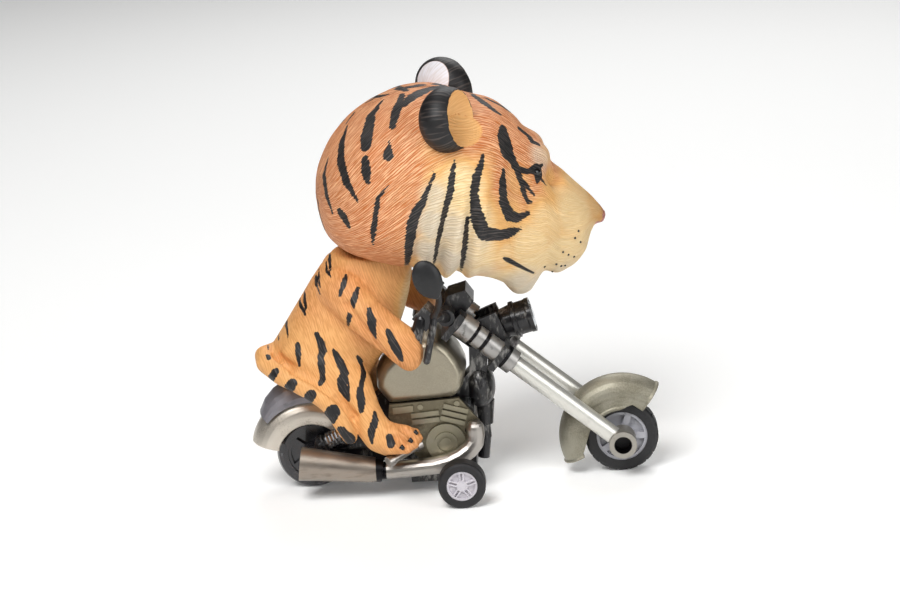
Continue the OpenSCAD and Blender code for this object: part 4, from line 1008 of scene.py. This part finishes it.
# Small repeated pieces, placed by Geometry Nodes on points that carry their own direction
def repeat_on_points(name, points_mm, aims, shape, material, sizes):
    """A plain mesh with one shape at each point, turned to its aim.

    Sizes are the tree's named inputs, in millimetres.
    """
    mesh = bpy.data.meshes.new(name)
    mesh.from_pydata((np.asarray(points_mm) * MM).tolist(), [], [])
    set_attribute(mesh, "aim", aims, "FLOAT_VECTOR")
    seed = bpy.data.objects.new(name + "_points", mesh)
    bpy.context.scene.collection.objects.link(seed)
    tree = bpy.data.node_groups.new(name + "_repeat", "GeometryNodeTree")
    tree.interface.new_socket("Points", in_out="INPUT", socket_type="NodeSocketGeometry")
    sockets = {}
    for label in sizes:
        sockets[label] = tree.interface.new_socket(label, in_out="INPUT", socket_type="NodeSocketFloat")
    tree.interface.new_socket("Shapes", in_out="OUTPUT", socket_type="NodeSocketGeometry")
    given = node(tree, "NodeGroupInput")
    kind, given_sizes = shape
    solid = node(tree, kind, None, {key: given.outputs[value] if value in sizes else value
                                    for key, value in given_sizes.items()})
    aim = node(tree, "GeometryNodeInputNamedAttribute", {"data_type": "FLOAT_VECTOR"}, {"Name": "aim"})
    turn = node(tree, "FunctionNodeAlignRotationToVector", {"axis": "Z"}, {"Vector": aim.outputs[0]})
    placed = node(tree, "GeometryNodeInstanceOnPoints", None,
                  {"Points": given.outputs["Points"], "Instance": solid.outputs[0],
                   "Rotation": turn.outputs[0]})
    real = node(tree, "GeometryNodeRealizeInstances", None, {"Geometry": placed.outputs[0]})
    smooth = node(tree, "GeometryNodeSetShadeSmooth", None, {"Geometry": real.outputs[0]})
    done = node(tree, "GeometryNodeSetMaterial", None,
                {"Geometry": smooth.outputs[0], "Material": material})
    node(tree, "NodeGroupOutput", None, {"Shapes": done.outputs[0]})
    grow = seed.modifiers.new("repeat", "NODES")
    grow.node_group = tree
    for label, value in sizes.items():
        grow[sockets[label].identifier] = value * MM
    plain = bpy.data.meshes.new_from_object(seed.evaluated_get(bpy.context.evaluated_depsgraph_get()))
    bpy.data.objects.remove(seed)
    plain.name = name
    piece = bpy.data.objects.new(name, plain)
    bpy.context.scene.collection.objects.link(piece)
    return piece


def pixel_hit(surface, px, py, toward):
    """Place in millimetres and outward direction where a pixel lands on a surface.

    A pixel beside the surface slides towards one that is on it.
    """
    hit = None
    eye = Vector(camera_place())
    while hit is None:
        hit, out, _, _ = surface.ray_cast(eye, Vector(pixel_direction(px, py)).normalized())
        px, py = px + 0.1 * (toward[0] - px), py + 0.1 * (toward[1] - py)
    return np.array(hit) / MM, np.array(out)


def head_hit(surface, px, py):
    """Place and outward direction, in the head's frame, where a pixel lands on the head."""
    hit, out = pixel_hit(surface, px, py, FACE_PX)
    c, s = math.cos(HEAD_TURN), math.sin(HEAD_TURN)
    return to_head(hit[None])[0], np.array((out[0] * c + out[1] * s, out[1] * c - out[0] * s, out[2]))


# The eye's pixel, and one in the middle of the face
EYE_PX = (537.2, 171.5)
FACE_PX = (535.0, 225.0)
# Half axes of the eye, how deep its middle sits and how much its ends narrow
EYE_SIZE = np.array((1.5, 1.2, 1.3))
EYE_SINK = 0.9
EYE_NARROW = 0.35
# Nose leather: height of its middle, half width, half height, and how far it stands out and reaches in
NOSE_AT = (62.6, 3.3, 2.5)
NOSE_RISE = 0.42
NOSE_EDGE = 0.12
NOSE_BACK = 1.2
# X of the place from which the nose is looked at, and X of its front where nothing is hit
NOSE_VIEW = 80.0
NOSE_FRONT = 54.0


class TOY_OT_face(bpy.types.Operator):
    """Sets the eyes, the nose leather and the whisker pits"""
    bl_idname = "toy.face"
    bl_label = "Face"

    def execute(self, context):
        rider = settings().rider
        surface = surface_of(bpy.data.objects["head_skin"])
        dark = grained("gloss_dark_paint", rider.stripe, rider.stripe_paler, 0.8, 0.2, 0.18, 0.0, 0.3, 0.01)
        pits = [head_hit(surface, px, py) for px, py in WHISKERS]
        places = np.array([place * hand for place, _ in pits for hand in ((1, 1, 1), FLIP)])
        aims = np.array([out * hand for _, out in pits for hand in ((1, 1, 1), FLIP)])
        shape = ("GeometryNodeMeshIcoSphere", {"Radius": "Pit radius", "Subdivisions": 2})
        dots = repeat_on_points("whisker_pits", from_head(places), from_head(aims) - from_head(aims * 0),
                                shape, dark, {"Pit radius": 0.3})
        settle(dots, "head")
        place, out = head_hit(surface, *EYE_PX)
        rows, columns = 24, 32
        ball = ball_grid(rows, columns)
        almond = ball * EYE_SIZE
        almond[:, 2] *= 1 - EYE_NARROW * np.abs(ball[:, 0])
        faces = [face[::-1] for face in grid_faces(rows, columns)]
        for hand, name in (((1, 1, 1), "right_eye"), (FLIP, "left_eye")):
            centre = (place - out * EYE_SINK) * hand
            mesh_piece(name, from_head(centre + almond), faces, "head", dark)
        leather = grained("pink_nose_paint", rider.nose, "#8E4B40", 0.6, 0.5, 0.38, 0.0, 0.2, 0.04)
        self.nose(surface, leather)
        return {"FINISHED"}

    def nose(self, surface, leather):
        """A rounded triangle of leather that follows the front of the nose."""
        rows, columns = 14, 48
        z0, half, tall = NOSE_AT
        c, s = math.cos(HEAD_TURN), math.sin(HEAD_TURN)
        front = []
        for i in range(rows):
            share = (i + 0.5) / rows
            for j in range(columns):
                turn = 2 * math.pi * j / columns
                up = math.sin(turn)
                y = half * share * math.cos(turn) * (1 + 0.3 * up)
                z = z0 + tall * share * up
                start = Vector(from_head(np.array([(NOSE_VIEW, y, z)]))[0] * MM)
                hit, _, _, _ = surface.ray_cast(start, Vector((-c, -s, 0)))
                base = np.array((NOSE_FRONT, y, z)) if hit is None else to_head(np.array([hit]) / MM)[0]
                front.append(base + np.array((NOSE_RISE * (1 - share ** 4) - NOSE_EDGE, 0, 0)))
        front = np.array(front)
        points = np.concatenate([front, front - np.array((NOSE_BACK, 0, 0))])
        faces = grid_faces(rows, columns)[:-2]
        faces += [f[::-1] for f in grid_faces(rows, columns, rows * columns)[:-2]]
        ring_a = (rows - 1) * columns
        ring_b = ring_a + rows * columns
        for j in range(columns):
            k = (j + 1) % columns
            faces.append((ring_a + j, ring_a + k, ring_b + k, ring_b + j))
        faces.append(tuple(reversed(range(columns))))
        faces.append(tuple(rows * columns + j for j in range(columns)))
        faces = [face[::-1] for face in faces]
        mesh_piece("nose_leather", from_head(points), faces, "head", leather)


# Claws of the right foot, a pixel on the foot, the way the claws point and how deep they sit
CLAWS_PX = ((415.5, 432.5), (410.5, 440.5), (402.0, 447.5))
FOOT_PX = (395.0, 436.0)
CLAW_AIM = np.array((0.75, -0.25, -0.6))
CLAW_SINK = 0.45


class TOY_OT_claws(bpy.types.Operator):
    """Sets a claw on each toe"""
    bl_idname = "toy.claws"
    bl_label = "Claws"

    def execute(self, context):
        rider = settings().rider
        horn = grained("dark_claw_paint", rider.stripe, "#3A3634", 0.5, 0.5, 0.25, 0.2, 0.2, 0.02)
        surface = surface_of(bpy.data.objects["body_skin"])
        places = [pixel_hit(surface, px, py, FOOT_PX)[0] - CLAW_SINK * CLAW_AIM for px, py in CLAWS_PX]
        places = np.array([place * hand for place in places for hand in ((1, 1, 1), FLIP)])
        aims = np.array([CLAW_AIM * hand for _ in CLAWS_PX for hand in ((1, 1, 1), FLIP)])
        shape = ("GeometryNodeMeshCone", {"Vertices": 12, "Side Segments": 3, "Radius Top": "Tip",
                                          "Radius Bottom": "Root", "Depth": "Length"})
        piece = repeat_on_points("claws", places, aims, shape, horn,
                                 {"Tip": 0.42, "Root": 0.72, "Length": 1.1})
        settle(piece, "bike")
        return {"FINISHED"}


# Foot of the fork and the slope of its legs
FORK_FOOT = (41.2, 0.0, 9.1)
FORK_SLOPE = math.radians(40.4)
FORK_UP = (-math.cos(FORK_SLOPE), 0.0, math.sin(FORK_SLOPE))
# Black rings on the fork's sleeves, by distance from its foot
FORK_RINGS = ((36.1, 38.5), (42.4, 43.3), (45.7, 46.5), (50.5, 60.0))
# Half width of the engine behind the faces of its covers; within it the engine paint is drawn darker as
# painted shade
ENGINE_RECESS = 9.3
# Paints of the bike, made once and shared
PAINTS = {}


def bike_paints():
    """The bike's materials by name."""
    if PAINTS:
        return PAINTS
    bike = settings().bike
    grit = bike.grit / MM
    black = (bike.black, bike.black)
    lighter = [min(1.0, c * 1.22) for c in bike.pewter[:3]] + [1.0]
    # Metallic paint on ABS: fine flake, a soft broad shine
    PAINTS["pewter"] = grained("pewter_paint_abs", bike.pewter, lighter, grit, 1.7, 0.38, 0.85, 0.1, 0.03)
    # The same pewter paint drawn paler and greyer on the rear fender, as painted light over the whole fender
    PAINTS["fender"] = grained("pewter_paint_abs_painted_light", "#CFC7BB", "#B3AB9E", grit, 0.6, 0.38, 0.8, 0.1,
                               0.015)
    # Duller spray on the front fender: the shine spreads wide
    PAINTS["dull"] = grained("dull_pewter_paint_abs", "#979384", "#7D7867", grit, 1.5, 0.5, 0.6, 0.0, 0.03)
    # Pewter paint with painted shade: the plate set back between fins and ledges is drawn darker, so that
    # they stand out
    recess_shade = ((0, 0, 0), (0, 1, 0), -ENGINE_RECESS, ENGINE_RECESS, "#746D5A", "#8A836E")
    PAINTS["engine"] = grained("engine_paint_abs", bike.pewter_dark, bike.pewter, 0.8, 0.8, 0.42, 0.8, 0.0,
                               0.03, bands=(recess_shade,))
    # Brushed metallic paint on the muffler: streaks along it and a dark seam ring
    seam = ((-18.1, 0, 0), (1, 0, 0), -1.5, 0.9, *black)
    PAINTS["muffler"] = grained("brushed_pewter_paint_abs", "#9A9085", "#887E73", 0.9, 0.5, 0.35, 0.85, 0.1,
                                0.02, (0.2, 1, 1), (seam,))
    # Worn plating on the pipes: darker than the fork, still mirror-like at the bend
    PAINTS["pipe"] = grained("worn_plated_abs", "#AAA59F", "#979189", 1.6, 0.5, 0.33, 1.0, 0.0, 0.01,
                             (0.3, 1, 1), (seam,))
    # Plated fork legs whose upper sleeves are black with silver brushed over the rings
    sleeve = (FORK_FOOT, FORK_UP, 33.5, 60.0, "#A5A3A0", "#423F3E")
    rings = [(FORK_FOOT, FORK_UP, low, high, *black) for low, high in FORK_RINGS]
    boss = (FORK_FOOT, None, -1.0, 3.6, "#A09C94", "#86827A")
    bore = (FORK_FOOT, None, -1.0, 2.15, *black)
    PAINTS["fork"] = grained("plated_fork_abs", bike.plating, "#CFCDC6", 2.4, 0.4, 0.4, 0.75, 0.0, 0.0,
                             bands=(sleeve, *rings, boss, bore))
    # Black ABS with silver brushed over its high spots: drawn coarser than real so that it shows
    PAINTS["black"] = grained("dry_brushed_abs", bike.black, bike.silver, 0.7, 0.75, 0.34, 0.25, 0.2, 0.05,
                              (1, 1, 0.35))
    # Gloss black ABS: the rear wheel shows wide grey highlights
    PAINTS["gloss"] = grained("gloss_black_abs", "#2B2A2D", "#6E6C70", 1.6, 0.25, 0.24, 0.2, 0.5, 0.02,
                              (0.4, 1, 1))
    # Glossy black seat drawn in mid-grey metallic paint: the grey is a painted sheen of the light above, over
    # the seat's real gloss
    PAINTS["seat"] = grained("seat_metallic_abs_painted_sheen", "#8C8A90", "#77757B", 1.6, 0.4, 0.44, 0.55, 0.1, 0.02,
                             (0.4, 1, 1))
    # Matte near-black ABS of the mirrors: almost no shine
    PAINTS["mirror"] = grained("matte_grey_abs", "#101012", "#1E1E20", 1.2, 0.6, 0.45, relief_mm=0.03)
    # Soft black vinyl: satin walls
    PAINTS["tyre"] = grained("soft_vinyl_tyre", bike.tyre, "#252427", 0.6, 0.5, 0.55, relief_mm=0.03)
    # Grey ABS hubs: a cool tone beside the black tyres
    PAINTS["hub"] = grained("grey_abs_hub", bike.hub, "#86868C", 1.0, 0.5, 0.45, 0.1)
    # White ABS with a lilac cast: the drive hubs and the gears
    PAINTS["white"] = grained("white_abs_hub", bike.white, "#AFACB5", 1.0, 0.4, 0.42, coat=0.1)
    # Drawn steel wire and pins: bright, brushed across
    PAINTS["steel"] = grained("bright_steel", "#B9BCC0", "#8F9296", 0.5, 0.5, 0.28, 1.0, 0.0, 0.01,
                              (1, 0.2, 1))
    # Orange ABS of the spring barrel: plain, inside the motor
    PAINTS["barrel"] = grained("orange_abs_barrel", "#D0522C", "#B8431F", 1.0, 0.4, 0.45)
    # Silver paint behind a clear lens: the lamp's bright face
    PAINTS["lens"] = grained("silvered_lens", "#C9CDD2", "#9BA0A6", 0.9, 0.4, 0.14, 0.7, 0.3)
    # Bare vinyl of the rider: only under the painted skins
    PAINTS["vinyl"] = grained("bare_vinyl", "#E0A066", "#D08A50", 1.0, 0.4, 0.6)
    return PAINTS


# Paints by the record's slots, and those of nodes that differ from their slot or whose slot has none
PAINT_OF_SLOT = {
    "pewter": "pewter", "black_plastic": "black", "grey_plastic": "hub", "lens": "lens", "steel": "steel",
    "tyre": "tyre", "white_plastic": "white", "barrel_plastic": "barrel", "head_vinyl": "vinyl",
    "body_vinyl": "vinyl",
}
PAINT_OF_NODE = {
    "seat": "seat", "rear_tyre": "gloss", "rear_hub": "gloss", "rear_fender": "fender",
    "front_fender": "dull", "right_engine_cover": "engine", "left_engine_cover": "engine",
    "right_muffler": "muffler", "left_muffler": "muffler", "right_exhaust_pipe": "pipe",
    "left_exhaust_pipe": "pipe", "right_fork_tube": "fork", "left_fork_tube": "fork",
    "right_foot_peg": "pipe", "left_foot_peg": "pipe",
}


class TOY_OT_bike_paint(bpy.types.Operator):
    """Paints the bike's own parts"""
    bl_idname = "toy.bike_paint"
    bl_label = "Bike paint"

    def execute(self, context):
        paints = bike_paints()
        slots = {s["node"]: s["material_slot"] for s in frame["record"]["subparts"]}
        for name, piece in frame["nodes"].items():
            repaint(piece, paints[PAINT_OF_NODE.get(name) or PAINT_OF_SLOT[slots[name]]])
        return {"FINISHED"}


# Reach of the floor each way, size of the soft lights and the place that they face, in metres
FLOOR_REACH = 6.0
LIGHT_SIZE = 0.5
LIGHT_AIM = Vector((0, 0, 0.05))


class TOY_OT_stage(bpy.types.Operator):
    """Sets the pale floor, the soft studio light and the camera"""
    bl_idname = "toy.stage"
    bl_label = "Stage"

    def execute(self, context):
        stage = settings().stage
        scene = context.scene
        scene.view_settings.view_transform = "Standard"
        made, tree = new_material("pale_studio_floor")
        shader = node(tree, "ShaderNodeBsdfPrincipled", None,
                      {"Base Color": list(stage.floor), "Roughness": 0.8, "Emission Color": (1, 1, 1, 1),
                       "Emission Strength": stage.floor_glow})
        node(tree, "ShaderNodeOutputMaterial", None, {"Surface": shader.outputs[0]})
        mesh = bpy.data.meshes.new("studio_floor")
        corners = [(x * FLOOR_REACH, y * FLOOR_REACH, 0) for x, y in ((-1, -1), (1, -1), (1, 1), (-1, 1))]
        mesh.from_pydata(corners, [], [(0, 1, 2, 3)])
        mesh.materials.append(made)
        floor = bpy.data.objects.new("studio_floor", mesh)
        scene.collection.objects.link(floor)
        world = bpy.data.worlds.new("studio_air")
        world.use_nodes = True
        sky = world.node_tree
        place = node(sky, "ShaderNodeTexCoord")
        height = node(sky, "ShaderNodeSeparateXYZ", None, {0: place.outputs["Generated"]})
        glow = node(sky, "ShaderNodeMapRange", None,
                    {"Value": height.outputs[2], "From Min": 0.0, "From Max": 0.9,
                     "To Min": stage.sky_low, "To Max": stage.sky_high})
        sky.links.new(glow.outputs[0], sky.nodes["Background"].inputs[1])
        scene.world = world
        for name, at, power in (
                ("key_light", (-0.25, -0.5, 0.75), stage.key),
                ("fill_light", (0.6, -0.5, 0.35), stage.fill),
                ("rim_light", (0.1, 0.6, 0.6), stage.fill)):
            light = bpy.data.lights.new(name, "AREA")
            light.size = LIGHT_SIZE
            light.energy = power
            lamp = bpy.data.objects.new(name, light)
            lamp.location = at
            lamp.rotation_euler = (LIGHT_AIM - Vector(at)).to_track_quat("-Z", "Y").to_euler()
            scene.collection.objects.link(lamp)
        right, up, back = camera_axes()
        view = bpy.data.cameras.new("photo_camera")
        view.lens = stage.lens
        view.sensor_width = SENSOR_W
        view.clip_start = 0.01
        camera = bpy.data.objects.new("photo_camera", view)
        turn = Matrix(np.stack([right, up, back], axis=1)).to_4x4()
        camera.matrix_world = Matrix.Translation(Vector(camera_place())) @ turn
        scene.collection.objects.link(camera)
        scene.camera = camera
        return {"FINISHED"}


class TOY_PT_panel(bpy.types.Panel):
    """Steps of the toy, in order"""
    bl_idname = "TOY_PT_panel"
    bl_label = "Toy chopper"
    bl_space_type = "VIEW_3D"
    bl_region_type = "UI"
    bl_category = "Toy chopper"

    def draw(self, context):
        for step in STEPS:
            self.layout.operator(step.bl_idname)
        for group in (settings().rider, settings().bike, settings().stage):
            box = self.layout.box()
            for key in group.bl_rna.properties.keys():
                if key not in ("rna_type", "name"):
                    box.prop(group, key)


STEPS = (TOY_OT_stage, TOY_OT_bike_paint, TOY_OT_smooth_shells, TOY_OT_head, TOY_OT_ears, TOY_OT_face,
         TOY_OT_body, TOY_OT_claws)
CLASSES = (ToyRiderSettings, ToyBikeSettings, ToyStageSettings, ToySettings) + STEPS + (TOY_PT_panel,)


def register():
    for made in CLASSES:
        bpy.utils.register_class(made)
    bpy.types.Scene.toy_chopper = bpy.props.PointerProperty(type=ToySettings)


def unregister():
    del bpy.types.Scene.toy_chopper
    for made in reversed(CLASSES):
        bpy.utils.unregister_class(made)


def main():
    register()
    for step in STEPS:
        group, name = step.bl_idname.split(".")
        getattr(getattr(bpy.ops, group), name)()


if __name__ == "__main__":
    main()
